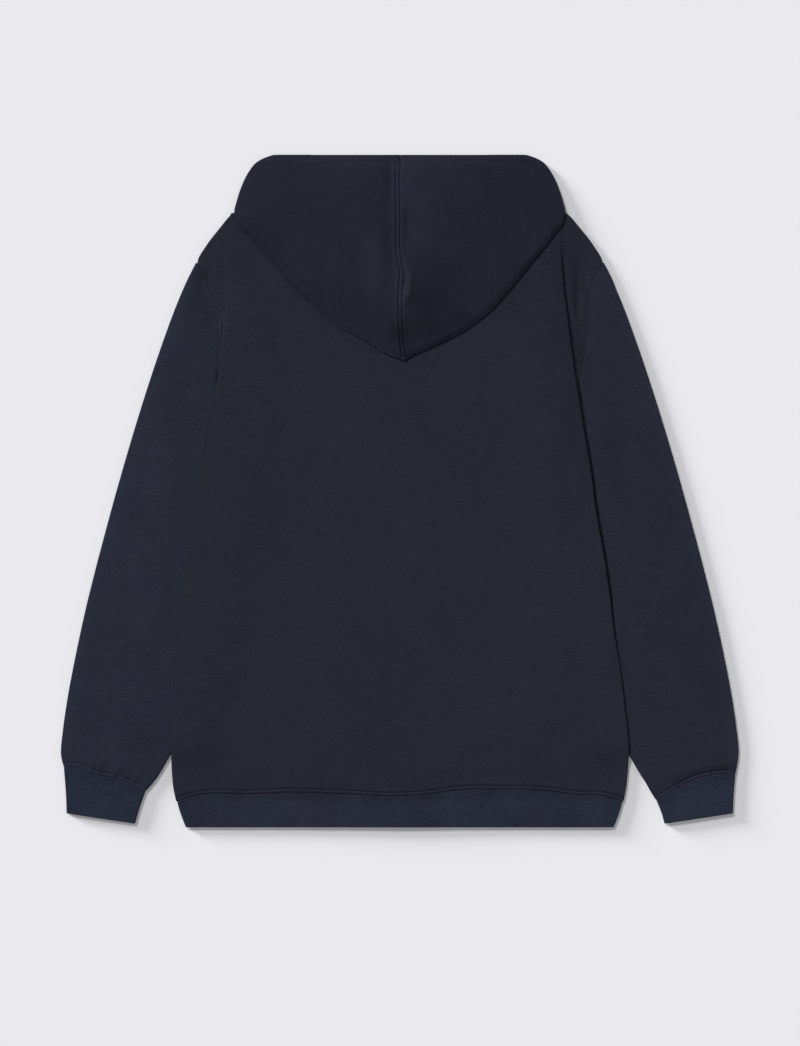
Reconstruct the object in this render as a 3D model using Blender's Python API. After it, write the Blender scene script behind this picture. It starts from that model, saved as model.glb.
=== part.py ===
"""A zip-up hoodie laid flat on a surface with its back up, its sleeves beside the body and its hood spread.

Sizes are in millimetres here and become metres in the meshes. The origin is at the middle of the footprint, on the
surface: +X to the wearer's right, +Y towards the hood, +Z up. The front panels lie on the surface, the back panel lies
on them, and the sides of the back panel fold over the inner edges of the sleeves. Every cloth piece is a wall of one
thickness around a middle surface, which the functions below work out from the tables of sections.
"""

import math

import bpy
import numpy as np

for old in list(bpy.data.objects):
    bpy.data.objects.remove(old, do_unlink=True)

MM = 0.001

# --- cloth and layers ---------------------------------------------------------------------------------------------
CLOTH = 2.0  # wall of the fleece
GAP = 0.3  # between two pieces at a seam
LAYER = 2.5  # from the middle of one layer to the middle of the next
FLOOR = CLOTH / 2  # middle of a layer that lies on the surface
BACK = FLOOR + LAYER  # middle of a layer that lies on one other
STRIP = BACK + LAYER  # middle of the turned-under strip, over the sleeve
TURN_STEPS = 4  # facets round a fold

# --- body ---------------------------------------------------------------------------------------------------------
HEM_SEAM_LOW = -345.0
HEM_BOTTOM = -376.6
HEM_BOTTOM_HALF = 237.4
UNDERARM_Y = 24.0
SHOULDER_TIP_Y = 256.0
BODY_TOP_Y = 309.0
NECK_HALF = 92.0
NECK_POINT_Y = 332.0
BACK_NECK_Y = 312.0
FRONT_NECK_Y = 247.0
FRONT_NECK_POWER = 2.6
FRONT_EDGE = 8.0  # half the gap between the two front panels
SIDE_RAMP = 14.0  # run over which a front panel climbs to the turned-under strip
BACK_RAMP = 36.0  # run over which the back panel climbs over the sleeve's edge
BACK_EDGE_SPOTS = (3.0, 14.0, 25.0, 39.0)  # columns beside the climb
BACK_SPOTS = (-0.8, -0.6, -0.42, -0.28, -0.16, -0.05, 0.05, 0.16, 0.28, 0.42, 0.6, 0.8)  # columns between them

# Half widths of the body at each height: the fold that shows, and the seam where the piece ends (the side seam below
# the underarm, the armhole seam above it, and the shoulder line above the shoulder tip). step is how far the back
# panel's outer strip drops at the fold where the strip lies outwards.
BODY_COLUMNS = ("y", "fold_left", "fold_right", "seam_left", "seam_right", "step_left", "step_right")
BODY_ROWS = (
    (-345.0, 251.0, 250.6, 243.5, 243.0, 2.5, 2.5),
    (-323.0, 254.0, 253.4, 246.0, 245.5, 2.5, 2.5),
    (-300.0, 256.6, 256.4, 248.0, 248.0, 2.5, 2.5),
    (-272.0, 254.8, 254.0, 246.0, 245.5, 2.5, 2.5),
    (-230.0, 252.6, 249.8, 238.0, 237.5, 2.5, 2.5),
    (-180.0, 250.0, 244.3, 227.0, 227.0, 2.5, 2.5),
    (-130.0, 247.0, 237.8, 216.0, 216.0, 2.5, 2.5),
    (-75.0, 241.5, 230.6, 204.5, 204.5, 2.5, 2.5),
    (-20.0, 234.0, 222.6, 193.5, 193.5, 2.5, 2.5),
    (24.0, 222.6, 216.0, 186.0, 186.0, 2.5, 2.5),
    (64.0, 214.8, 208.9, 190.0, 191.5, 2.5, 2.5),
    (102.0, 207.9, 202.7, 192.8, 196.5, 2.5, 2.5),
    (135.0, 202.9, 197.2, 194.7, 203.5, 2.5, 2.5),
    (155.0, 201.2, 194.5, 196.8, 207.2, 2.5, 2.8),
    (174.0, 199.1, 191.8, 199.1, 209.6, 2.5, 3.0),
    (194.0, 196.9, 189.0, 200.4, 210.7, 2.2, 3.0),
    (212.0, 194.8, 186.5, 207.8, 210.9, 1.6, 2.8),
    (235.0, 192.5, 184.1, 217.0, 215.4, 1.1, 2.2),
    (256.0, 191.3, 182.5, 227.2, 227.2, 0.7, 1.4),
    (275.0, 189.2, 181.6, 217.6, 217.6, 0.4, 0.8),
    (292.0, 187.3, 181.7, 204.2, 204.2, 0.2, 0.4),
    (309.0, 185.6, 183.2, 189.4, 189.4, 0.0, 0.0),
)

# Height of the rib seam of the hem along the body's width.
HEM_COLUMNS = ("x", "y")
HEM_ROWS = (
    (-252.0, -345.0),
    (-231.6, -339.0),
    (-217.0, -336.2),
    (-175.0, -336.6),
    (-119.6, -334.6),
    (-59.0, -336.4),
    (-8.7, -338.9),
    (21.6, -337.6),
    (70.8, -331.6),
    (112.0, -331.2),
    (167.0, -333.0),
    (204.0, -337.8),
    (225.0, -338.0),
    (252.0, -345.1),
)

# --- sleeves ------------------------------------------------------------------------------------------------------
# Each row is one ring of the flattened sleeve, from the armhole to the cuff: its outer and inner edge, and how far its
# upper line bows towards the neck.
SLEEVE_COLUMNS = ("outer_x", "outer_y", "inner_x", "inner_y", "bow_left", "bow_right")
SLEEVE_ROWS = (
    (227.2, 256.0, 188.0, 24.0, 0.0, 0.0),
    (249.5, 208.7, 196.8, -23.0, 9.0, 7.0),
    (276.2, 134.0, 206.0, -70.0, 4.0, 4.0),
    (304.0, 45.0, 217.5, -126.0, 1.0, 1.0),
    (330.0, -47.5, 229.0, -179.0, 0.0, 0.0),
    (350.5, -128.0, 239.5, -226.0, 0.0, 0.0),
    (367.0, -208.0, 251.0, -270.5, 0.0, 0.0),
    (375.0, -258.4, 262.0, -301.0, 0.0, 0.0),
    (379.1, -291.5, 273.0, -321.1, 0.0, 0.0),
    (376.6, -305.4, 284.0, -333.6, 0.0, 0.0),
)
SLEEVE_CROWN = 2.0  # how far the sleeve's upper side stands above a flat layer
CUFF_OUTER = (373.3, -359.5)
CUFF_INNER = (295.6, -371.5)
CUFF_SEAM_IN = 1.6  # the cuff is this much narrower than the sleeve on each edge
CUFF_LAYER = 2.8

# --- hood ---------------------------------------------------------------------------------------------------------
# Outline of the spread hood from the middle of its top edge to the notch where it meets the shoulder, and the rim of
# its opening and the edge between them on the side that lies on the surface.
HOOD_TOP_COLUMNS = ("outline_x", "outline_y", "seam_y", "inner_x", "inner_y")
HOOD_TOP_ROWS = (
    (0.0, 376.6, 366.0, 0.0, 371.0),
    (48.0, 376.6, 352.0, 34.0, 362.0),
    (95.0, 376.6, 338.0, 66.0, 351.0),
    (141.0, 376.6, 325.0, 93.7, 340.0),
    (160.8, 367.7, 313.0, 118.0, 334.8),
    (171.0, 354.3, 302.0, 142.0, 329.6),
    (177.6, 339.7, 291.0, 163.0, 325.0),
    (182.6, 324.0, 281.0, 182.6, 324.0),
    (184.8, 314.0, 273.0, 184.8, 314.0),
)
# Lower outline of the hood, a fold, from the notch to its tip.
HOOD_FOLD_COLUMNS = ("left_x", "left_y", "right_x", "right_y", "seam_y")
HOOD_FOLD_ROWS = (
    (183.6, 303.6, 184.0, 303.9, 264.0),
    (168.0, 285.5, 170.0, 283.0, 254.0),
    (148.0, 263.4, 149.0, 258.7, 242.0),
    (122.0, 232.0, 124.0, 228.4, 228.0),
    (96.5, 207.0, 98.0, 200.3, 214.0),
    (68.0, 184.8, 70.0, 179.2, 200.0),
    (38.0, 168.4, 39.0, 163.2, 186.0),
    (13.0, 153.0, 15.5, 152.9, 172.0),
    (-4.2, 147.1, 4.2, 147.1, 158.0),
)
# Rim of the opening, from the middle of the top edge to the top of the zip.
HOOD_RIM_COLUMNS = ("x", "y")
HOOD_RIM_ROWS = ((0.0, 361.0), (28.0, 351.0), (51.0, 338.0), (64.0, 321.0), (61.0, 300.0), (50.0, 281.5), (32.0, 268.5), (6.0, 259.5))
HOOD_NECK_X = (84.6, 71.0, 45.0, 6.0)  # where the band between rim and neckline is cut, from neck point to zip
# Centre seam of the hood, on the side that shows.
HOOD_SEAM_COLUMNS = ("y", "x")
HOOD_SEAM_ROWS = ((147.0, 4.2), (163.0, 2.0), (181.0, 0.5), (214.0, -0.3), (228.0, 0.3), (242.0, 1.4), (253.5, -0.2), (270.0, -2.6), (305.0, -2.6), (340.0, -3.1), (377.0, -2.5))
HOOD_PUFF = 2.5
HOOD_TOP_DROP = 2.0

# --- zip ----------------------------------------------------------------------------------------------------------
TAPE_INNER, TAPE_OUTER, TAPE_THICK = 3.4, 17.0, 0.7
TAPE_MID = CLOTH + GAP + TAPE_THICK / 2
CHAIN_HALF, CHAIN_THICK, CHAIN_MID = 3.0, 1.9, 2.35
ZIP_BOTTOM, ZIP_TOP = -375.4, 246.0
LIFT = 2.6  # how far the slider holds the zip off the surface
LIFT_HALF_WIDTH = 48.0
SLIDER_Y = 235.0  # the hinge of the pull tab
SLIDER_LENGTH, SLIDER_HALF_TOP, SLIDER_HALF_LOW = 12.0, 5.0, 4.0
PLATE = 0.9
PLATE_Z = 2.9  # under side of the slider's front plate
BRIDGE_HALF, BRIDGE_REACH, BRIDGE_WALL, BRIDGE_LOW = 1.1, 2.6, 0.75, 0.15
TAB_Z, TAB_THICK, TAB_LENGTH, TAB_HALF = 1.75, 1.1, 28.0, 3.0
TAB_ARM_IN, TAB_ARM_OUT, TAB_HOLE = 1.6, 2.7, 4.3


# --- helpers ------------------------------------------------------------------------------------------------------
def column(names, rows, name):
    return np.array([row[names.index(name)] for row in rows], float)


def smooth(a, b, x):
    t = np.clip((np.asarray(x, float) - a) / (b - a), 0.0, 1.0)
    return t * t * (3 - 2 * t)


def follow(xs, ys, at):
    """A smooth curve through (xs, ys), with no overshoot between two rows."""
    xs, ys = np.asarray(xs, float), np.asarray(ys, float)
    h, d = np.diff(xs), np.diff(ys) / np.diff(xs)
    m = np.zeros(len(xs))
    m[0], m[-1] = d[0], d[-1]
    for i in range(1, len(xs) - 1):
        if d[i - 1] * d[i] > 0:
            a, b = 2 * h[i] + h[i - 1], h[i] + 2 * h[i - 1]
            m[i] = (a + b) / (a / d[i - 1] + b / d[i])
    at = np.clip(np.asarray(at, float), xs[0], xs[-1])
    i = np.clip(np.searchsorted(xs, at, side="right") - 1, 0, len(xs) - 2)
    t = (at - xs[i]) / h[i]
    return (
        (1 + 2 * t) * (1 - t) ** 2 * ys[i]
        + t * (1 - t) ** 2 * h[i] * m[i]
        + t * t * (3 - 2 * t) * ys[i + 1]
        + t * t * (t - 1) * h[i] * m[i + 1]
    )


BODY = {name: column(BODY_COLUMNS, BODY_ROWS, name) for name in BODY_COLUMNS}
HEM_X, HEM_Y = column(HEM_COLUMNS, HEM_ROWS, "x"), column(HEM_COLUMNS, HEM_ROWS, "y")
SEAM_Y, SEAM_X = column(HOOD_SEAM_COLUMNS, HOOD_SEAM_ROWS, "y"), column(HOOD_SEAM_COLUMNS, HOOD_SEAM_ROWS, "x")
SIDES = {"left": -1.0, "right": 1.0}


def fold_at(side, y):
    return np.interp(y, BODY["y"], BODY["fold_" + side])


def seam_at(side, y):
    return np.interp(y, BODY["y"], BODY["seam_" + side])


def hem_at(x):
    return follow(HEM_X, HEM_Y, x)


def lift_at(x, y):
    """How far the zip's slider lifts the layers near it."""
    return LIFT * np.exp(-((x / LIFT_HALF_WIDTH) ** 2)) * smooth(125, 185, y) * (1 - smooth(262, 315, y))


def zip_bump(x, y):
    """The layers over the tape and chain lie higher than the rest."""
    near = np.exp(-((x / 36.0) ** 2)) * (1 - smooth(258, 305, y))
    slider = np.exp(-((x / 36.0) ** 2)) * smooth(180, 220, y) * (1 - smooth(250, 300, y))
    return 2.0 * near + 1.2 * slider


def run_under(side, y):
    """Positive where the outer strip lies outwards of the fold, negative where it is turned under."""
    return seam_at(side, y) - fold_at(side, y)


def strip_height(side, y):
    """Middle of the strip beyond the fold: on the front panel, or over the sleeve, or down at the hem."""
    up = BACK + LAYER * (1 - smooth(5, 14, run_under(side, y))) * (1 - smooth(230, 254, y))
    return FLOOR + (up - FLOOR) * smooth(-312, -284, y)


def fold_height(side, y):
    step = np.interp(y, BODY["y"], BODY["step_" + side])
    return strip_height(side, y) + step


def back_height(x, y):
    """Middle of the back panel."""
    side = "left" if x < 0 else "right"
    fold = fold_at(side, y)
    start = min(seam_at(side, y), fold - 8.0)
    rise = (fold_height(side, y) - BACK) * smooth(start - BACK_RAMP, start - 3.0, abs(x))
    return BACK + lift_at(x, y) + zip_bump(x, y) + rise


def edge_height(side, y, x):
    """Where a row meets the body's side: level, except near the hem seam, which it follows."""
    return y + (hem_at(SIDES[side] * x) + GAP / 2 - HEM_SEAM_LOW) * (1 - smooth(-345, -240, y))


def front_neck(x):
    return NECK_POINT_Y - (NECK_POINT_Y - FRONT_NECK_Y) * (1 - (min(abs(x), NECK_HALF) / NECK_HALF) ** FRONT_NECK_POWER)


def back_neck(x):
    return BACK_NECK_Y + (NECK_POINT_Y - BACK_NECK_Y) * (min(abs(x), NECK_HALF) / NECK_HALF) ** 2


def shoulder_line(x):
    """Top edge of the body from the neck point outwards."""
    if abs(x) <= 186.0:
        return np.interp(abs(x), (NECK_HALF, 186.0), (NECK_POINT_Y, 311.7))
    return np.interp(abs(x), (186.0, 189.4, 204.2, 217.6, 227.2), (311.7, 309.0, 292.0, 275.0, 256.0))


class Sheet:
    """A middle surface of shared points, made into a wall."""

    def __init__(self, thickness=CLOTH):
        self.points, self.flat, self.faces, self.thickness = [], [], [], thickness

    def point(self, x, y, z, seam=False):
        self.points.append((x, y, z))
        self.flat.append(seam)
        return len(self.points) - 1

    def face(self, *corners):
        kept = [c for i, c in enumerate(corners) if c != corners[i - 1]]
        if len(kept) > 2:
            self.faces.append(kept)

    def grid(self, ids, close=False):
        for a, b in zip(ids, ids[1:]):
            wrap = range(len(a)) if close else range(len(a) - 1)
            for j in wrap:
                k = (j + 1) % len(a)
                self.face(a[j], a[k], b[k], b[j])

    def wall(self, name, material):
        points = np.array(self.points, float)
        normals = np.zeros_like(points)
        for face in self.faces:
            corner = points[face]
            if len(face) == 4:
                n = np.cross(corner[2] - corner[0], corner[3] - corner[1])
            else:
                n = np.cross(corner[1] - corner[0], corner[2] - corner[0])
            length = np.linalg.norm(n)
            if length > 0:
                normals[face] += n / length
        for i, seam in enumerate(self.flat):
            if seam:
                normals[i, 0] = 0.0
        normals /= np.maximum(np.linalg.norm(normals, axis=1, keepdims=True), 1e-9)
        half = self.thickness / 2
        count = len(points)
        both = np.concatenate([points + normals * half, points - normals * half])
        faces = [tuple(f) for f in self.faces] + [tuple(i + count for i in reversed(f)) for f in self.faces]
        edges = {}
        for f in self.faces:
            for a, b in zip(f, f[1:] + f[:1]):
                edges[(a, b)] = edges.get((a, b), 0) + 1
        for a, b in edges:
            if (b, a) not in edges:
                faces.append((b, a, a + count, b + count))
        return solid(name, both, faces, material)


def solid(name, points, faces, material):
    mesh = bpy.data.meshes.new(name)
    mesh.from_pydata([tuple(float(v) * MM for v in p) for p in points], [], faces)
    mesh.materials.append(material)
    mesh.validate()
    obj = bpy.data.objects.new(name, mesh)
    bpy.context.scene.collection.objects.link(obj)
    return obj


def finish(name, colour, roughness, metallic):
    made = bpy.data.materials.new(name)
    made.use_nodes = True
    shader = made.node_tree.nodes["Principled BSDF"]
    shader.inputs["Base Color"].default_value = (*colour, 1.0)
    shader.inputs["Roughness"].default_value = roughness
    shader.inputs["Metallic"].default_value = metallic
    return made


# --- body pieces --------------------------------------------------------------------------------------------------
def fold_section(side, y):
    """The back panel's outer end at one height, as (half width, height) pairs from the panel to the seam."""
    fold, seam = fold_at(side, y) - CLOTH / 2, seam_at(side, y)
    high, low = fold_height(side, y), strip_height(side, y)
    out = run_under(side, y) >= 3.0
    pairs = []
    for k in range(TURN_STEPS + 1):
        angle = math.pi * (0.5 - k / TURN_STEPS)
        if out:
            pairs.append((fold + 3.0 * (k / TURN_STEPS - 0.5), low + (high - low) * (0.5 + 0.5 * math.sin(angle))))
        else:
            r = (high - low) / 2
            pairs.append((fold - r + r * math.cos(angle), low + r + r * math.sin(angle)))
    end = seam - GAP / 2 if out else min(seam, fold - 5.0)
    pairs.append(((pairs[-1][0] + end) / 2, low))
    pairs.append((end, low))
    return pairs


def side_rows():
    ys = [HEM_SEAM_LOW, -318, -299, -284, -255, -215, -170, -120, -70, -25, 24, 50, 78, 105, 135, 155, 174, 194, 212, 235, 256, 275, 292, BODY_TOP_Y]
    return [float(y) for y in ys]


def build_back(material):
    sheet = Sheet()
    rows = side_rows()
    ids = []
    for y in rows:
        v = (y - rows[0]) / (rows[-1] - rows[0])
        tails = {side: fold_section(side, y) for side in SIDES}
        starts = {side: min(seam_at(side, y), fold_at(side, y) - 8.0) for side in SIDES}
        left, right = BACK_EDGE_SPOTS[-1] - starts["left"], starts["right"] - BACK_EDGE_SPOTS[-1]
        spots = [-starts["left"] + d for d in BACK_EDGE_SPOTS]
        spots += [(left + right) / 2 + (right - left) / 2 * spot for spot in BACK_SPOTS]
        spots += [starts["right"] - d for d in reversed(BACK_EDGE_SPOTS)]
        line = [sheet.point(-x, edge_height("left", y, x), z) for x, z in reversed(tails["left"])]
        for x in spots:
            side = "left" if x < 0 else "right"
            top = back_neck(x) if abs(x) < NECK_HALF else shoulder_line(min(abs(x), 186.0))
            bottom = hem_at(x) + GAP / 2
            edge = min(abs(x) / (starts[side] - 3.0), 1.0) ** 6
            py = (bottom + (top - bottom) * v) * (1 - edge) + edge_height(side, y, abs(x)) * edge
            line.append(sheet.point(x, py, back_height(x, py)))
        line += [sheet.point(x, edge_height("right", y, x), z) for x, z in tails["right"]]
        ids.append(line)
    sheet.grid(ids)
    sheet.wall("back", material)
    turn = len(fold_section("left", rows[0]))
    return [sheet.points[i][0] for i in ids[0][turn - 1 : -turn + 1]]


def build_front(side, material):
    sign = SIDES[side]
    sheet = Sheet()
    rows = side_rows()
    tip = rows.index(SHOULDER_TIP_Y)
    rows = rows[: tip + 1]
    ids = []
    for y in rows:
        v = (y - rows[0]) / (rows[-1] - rows[0])
        end = seam_at(side, y)
        free = y >= UNDERARM_Y
        if free:
            end -= GAP / 2
        else:
            end = min(end, fold_at(side, y) - CLOTH / 2 - 5.0) - GAP
        joined = 1 - smooth(-14.0, UNDERARM_Y - 2.0, y)
        height = FLOOR + (strip_height(side, y) - FLOOR) * joined
        line = []
        inner = end - SIDE_RAMP
        spots = [FRONT_EDGE + (inner - FRONT_EDGE) * t for t in (0, 0.07, 0.16, 0.28, 0.42, 0.56, 0.7, 0.84, 1.0)]
        spots += [end - 9.0, end - 5.0, end - 1.5, end]
        for x in spots:
            u = (x - FRONT_EDGE) / (end - FRONT_EDGE)
            at_top = FRONT_EDGE + u * (227.2 - FRONT_EDGE)
            top = front_neck(at_top) if at_top < NECK_HALF else shoulder_line(at_top)
            bottom = hem_at(sign * x) + GAP / 2
            edge = min(x / inner, 1.0) ** 6 * (1 - smooth(150, 256, y) * (x < inner + 1))
            py = (bottom + (top - bottom) * v) * (1 - edge) + edge_height(side, y, x) * edge
            z = FLOOR + (height - FLOOR) * smooth(inner, end - 1.0, x) + lift_at(x, py)
            line.append(sheet.point(sign * x, py, z))
        ids.append(line if sign > 0 else line[::-1])
    sheet.grid(ids)
    sheet.wall("front_" + side, material)
    return sorted(abs(sheet.points[i][0]) for i in ids[0])


# --- sleeves and cuffs --------------------------------------------------------------------------------------------
def sleeve_ring(side, row, crown, layer=LAYER, narrow=0.0, around=10):
    """One flattened ring: outer edge, under side, inner edge, upper side."""
    sign = SIDES[side]
    ox, oy, ix, iy, bow = row
    length = math.hypot(ix - ox, iy - oy)
    dx, dy = (ix - ox) / length, (iy - oy) / length
    r = layer / 2
    inset = CLOTH / 2 + r + narrow
    spots = []
    for k in range(around + 1):
        t = k / around
        along = inset + (length - 2 * inset) * t
        bend = bow * math.sin(math.pi * min(t * 1.25, 1.0)) ** 1.2
        x = ox + dx * along - bend * abs(dy)
        y = oy + dy * along
        spots.append((x, y, t))
    ring = []
    for x, y, t in spots:
        ring.append((x, y, FLOOR))
    for k in range(1, 3):
        a = math.pi * k / 3 - math.pi / 2
        ring.append((spots[-1][0] + dx * r * math.cos(a), spots[-1][1] + dy * r * math.cos(a), FLOOR + r + r * math.sin(a)))
    for x, y, t in reversed(spots):
        cover = smooth(fold_at(side, y) + 3.0, fold_at(side, y) + 28.0, x)
        ring.append((x, y, FLOOR + layer + crown * math.sin(math.pi * min(max(t, 0.0), 1.0)) * cover))
    for k in range(1, 3):
        a = math.pi / 2 - math.pi * k / 3
        ring.append((spots[0][0] - dx * r * math.cos(a), spots[0][1] - dy * r * math.cos(a), FLOOR + r + r * math.sin(a)))
    return [(sign * x, y, z) for x, y, z in ring]


def armhole_ring(side, like):
    """The sleeve's first ring lies along the armhole seam."""
    sign = SIDES[side]
    ring = []
    heights = [y for y in side_rows() if UNDERARM_Y <= y <= SHOULDER_TIP_Y][::-1]
    spots = [(seam_at(side, y) + GAP * 0.7, y) for y in heights]
    spots[0] = (seam_at(side, heights[0] - 5.0) + GAP, heights[0] - 5.0)
    spots[-1] = (seam_at(side, heights[-1]) + 3.6, heights[-1] + 1.0)
    for x, y in spots:
        ring.append((x, y, FLOOR))
    for k in range(1, 3):
        a = math.pi * k / 3 - math.pi / 2
        ring.append((spots[-1][0] - 0.6 * math.cos(a), spots[-1][1] - 1.1 * math.cos(a), FLOOR + LAYER / 2 * (1 + math.sin(a))))
    for x, y in reversed(spots):
        ring.append((x, y, FLOOR + LAYER))
    for k in range(1, 3):
        a = math.pi / 2 - math.pi * k / 3
        ring.append((spots[0][0] + 1.1 * math.cos(a), spots[0][1] + 0.6 * math.cos(a), FLOOR + LAYER / 2 * (1 + math.sin(a))))
    return [(sign * x, y, z) for x, y, z in ring]


def build_sleeve(side, material, cuff_material):
    sign = SIDES[side]
    sheet = Sheet()
    names = SLEEVE_COLUMNS
    rows = [
        [row[names.index(k)] for k in ("outer_x", "outer_y", "inner_x", "inner_y", "bow_" + side)] for row in SLEEVE_ROWS
    ]
    rings = []
    for i, row in enumerate(rows):
        fade = min(1.0, i / 2.0) * (1.0 if i < len(rows) - 1 else 0.6)
        rings.append(sleeve_ring(side, row, SLEEVE_CROWN * fade))
    rings[0] = armhole_ring(side, rings[1])
    ids = [[sheet.point(*p) for p in ring] for ring in rings]
    if sign < 0:
        ids = [line[::-1] for line in ids]
    sheet.grid(ids, close=True)
    sheet.wall("sleeve_" + side, material)

    cuff = Sheet()
    ox, oy, ix, iy, _ = rows[-1]
    ids = []
    for t in (0.0, 0.45, 1.0):
        step = (GAP if t == 0 else 0.0)
        row = (
            ox + (CUFF_OUTER[0] - ox) * t,
            oy + (CUFF_OUTER[1] - oy) * t - step * 1.5,
            ix + (CUFF_INNER[0] - ix) * t,
            iy + (CUFF_INNER[1] - iy) * t - step * 1.5,
            0.0,
        )
        ring = sleeve_ring(side, row, SLEEVE_CROWN * 0.5 * (1 - 0.6 * t), CUFF_LAYER, CUFF_SEAM_IN * (1 - t))
        ids.append([cuff.point(*p) for p in ring])
    if sign < 0:
        ids = [line[::-1] for line in ids]
    cuff.grid(ids, close=True)
    cuff.wall("cuff_" + side, cuff_material)


# --- hem band -----------------------------------------------------------------------------------------------------
def build_hem(material, back_spots, front_spots):
    """One strip from front edge to front edge, folded round both sides."""
    sheet = Sheet()
    ids = []
    layer = 2.8
    r = layer / 2
    for t in (0.0, 0.25, 0.6, 1.0):
        line = []

        def height(x):
            return (hem_at(x) - GAP / 2) * (1 - t) + HEM_BOTTOM * t

        def half(side):
            return (fold_at(side, HEM_SEAM_LOW) - 1.2) * (1 - t) + HEM_BOTTOM_HALF * t

        ends = {side: half(side) - CLOTH / 2 - r for side in SIDES}
        first = {side: fold_at(side, HEM_SEAM_LOW) - 1.2 - CLOTH / 2 - r for side in SIDES}
        for x in front_spots["left"]:
            x = -FRONT_EDGE - (x - FRONT_EDGE) * (ends["left"] - FRONT_EDGE) / (first["left"] - FRONT_EDGE)
            line.append((x, height(x), FLOOR))
        line.append((-ends["left"], height(-ends["left"]), FLOOR))
        for k in range(1, 4):
            a = math.pi * k / 4 - math.pi / 2
            x = -ends["left"] - r * math.cos(a)
            line.append((x, height(x), FLOOR + r + r * math.sin(a)))
        for i, x in enumerate(back_spots):
            x = x * ends["left"] / first["left"] if x < 0 else x * ends["right"] / first["right"]
            x = -ends["left"] if i == 0 else ends["right"] if i == len(back_spots) - 1 else x
            line.append((x, height(x), FLOOR + layer + zip_bump(x, -340.0)))
        for k in range(1, 4):
            a = math.pi / 2 - math.pi * k / 4
            x = ends["right"] + r * math.cos(a)
            line.append((x, height(x), FLOOR + r + r * math.sin(a)))
        line.append((ends["right"], height(ends["right"]), FLOOR))
        for x in reversed(front_spots["right"]):
            x = FRONT_EDGE + (x - FRONT_EDGE) * (ends["right"] - FRONT_EDGE) / (first["right"] - FRONT_EDGE)
            line.append((x, height(x), FLOOR))
        ids.append([sheet.point(*p) for p in line])
    ids.reverse()
    sheet.grid(ids)
    sheet.wall("hem_band", material)


# --- hood ---------------------------------------------------------------------------------------------------------
def hood_lower(x, y):
    """Middle of the hood's lower side, over the back panel."""
    over = 0.5 * np.exp(-((x / 60.0) ** 2))
    return back_height(float(np.clip(x, -183, 183)), min(y, 305.0)) + LAYER + over


def hood_upper(x, y, from_edge):
    """Middle of the hood's upper side."""
    base = hood_lower(x, y) - smooth(300, 330, y) * (zip_bump(x, 300.0) + lift_at(x, 300.0))
    return base + LAYER + HOOD_PUFF * smooth(0, 30, from_edge) - HOOD_TOP_DROP * smooth(345, 376, y)


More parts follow.
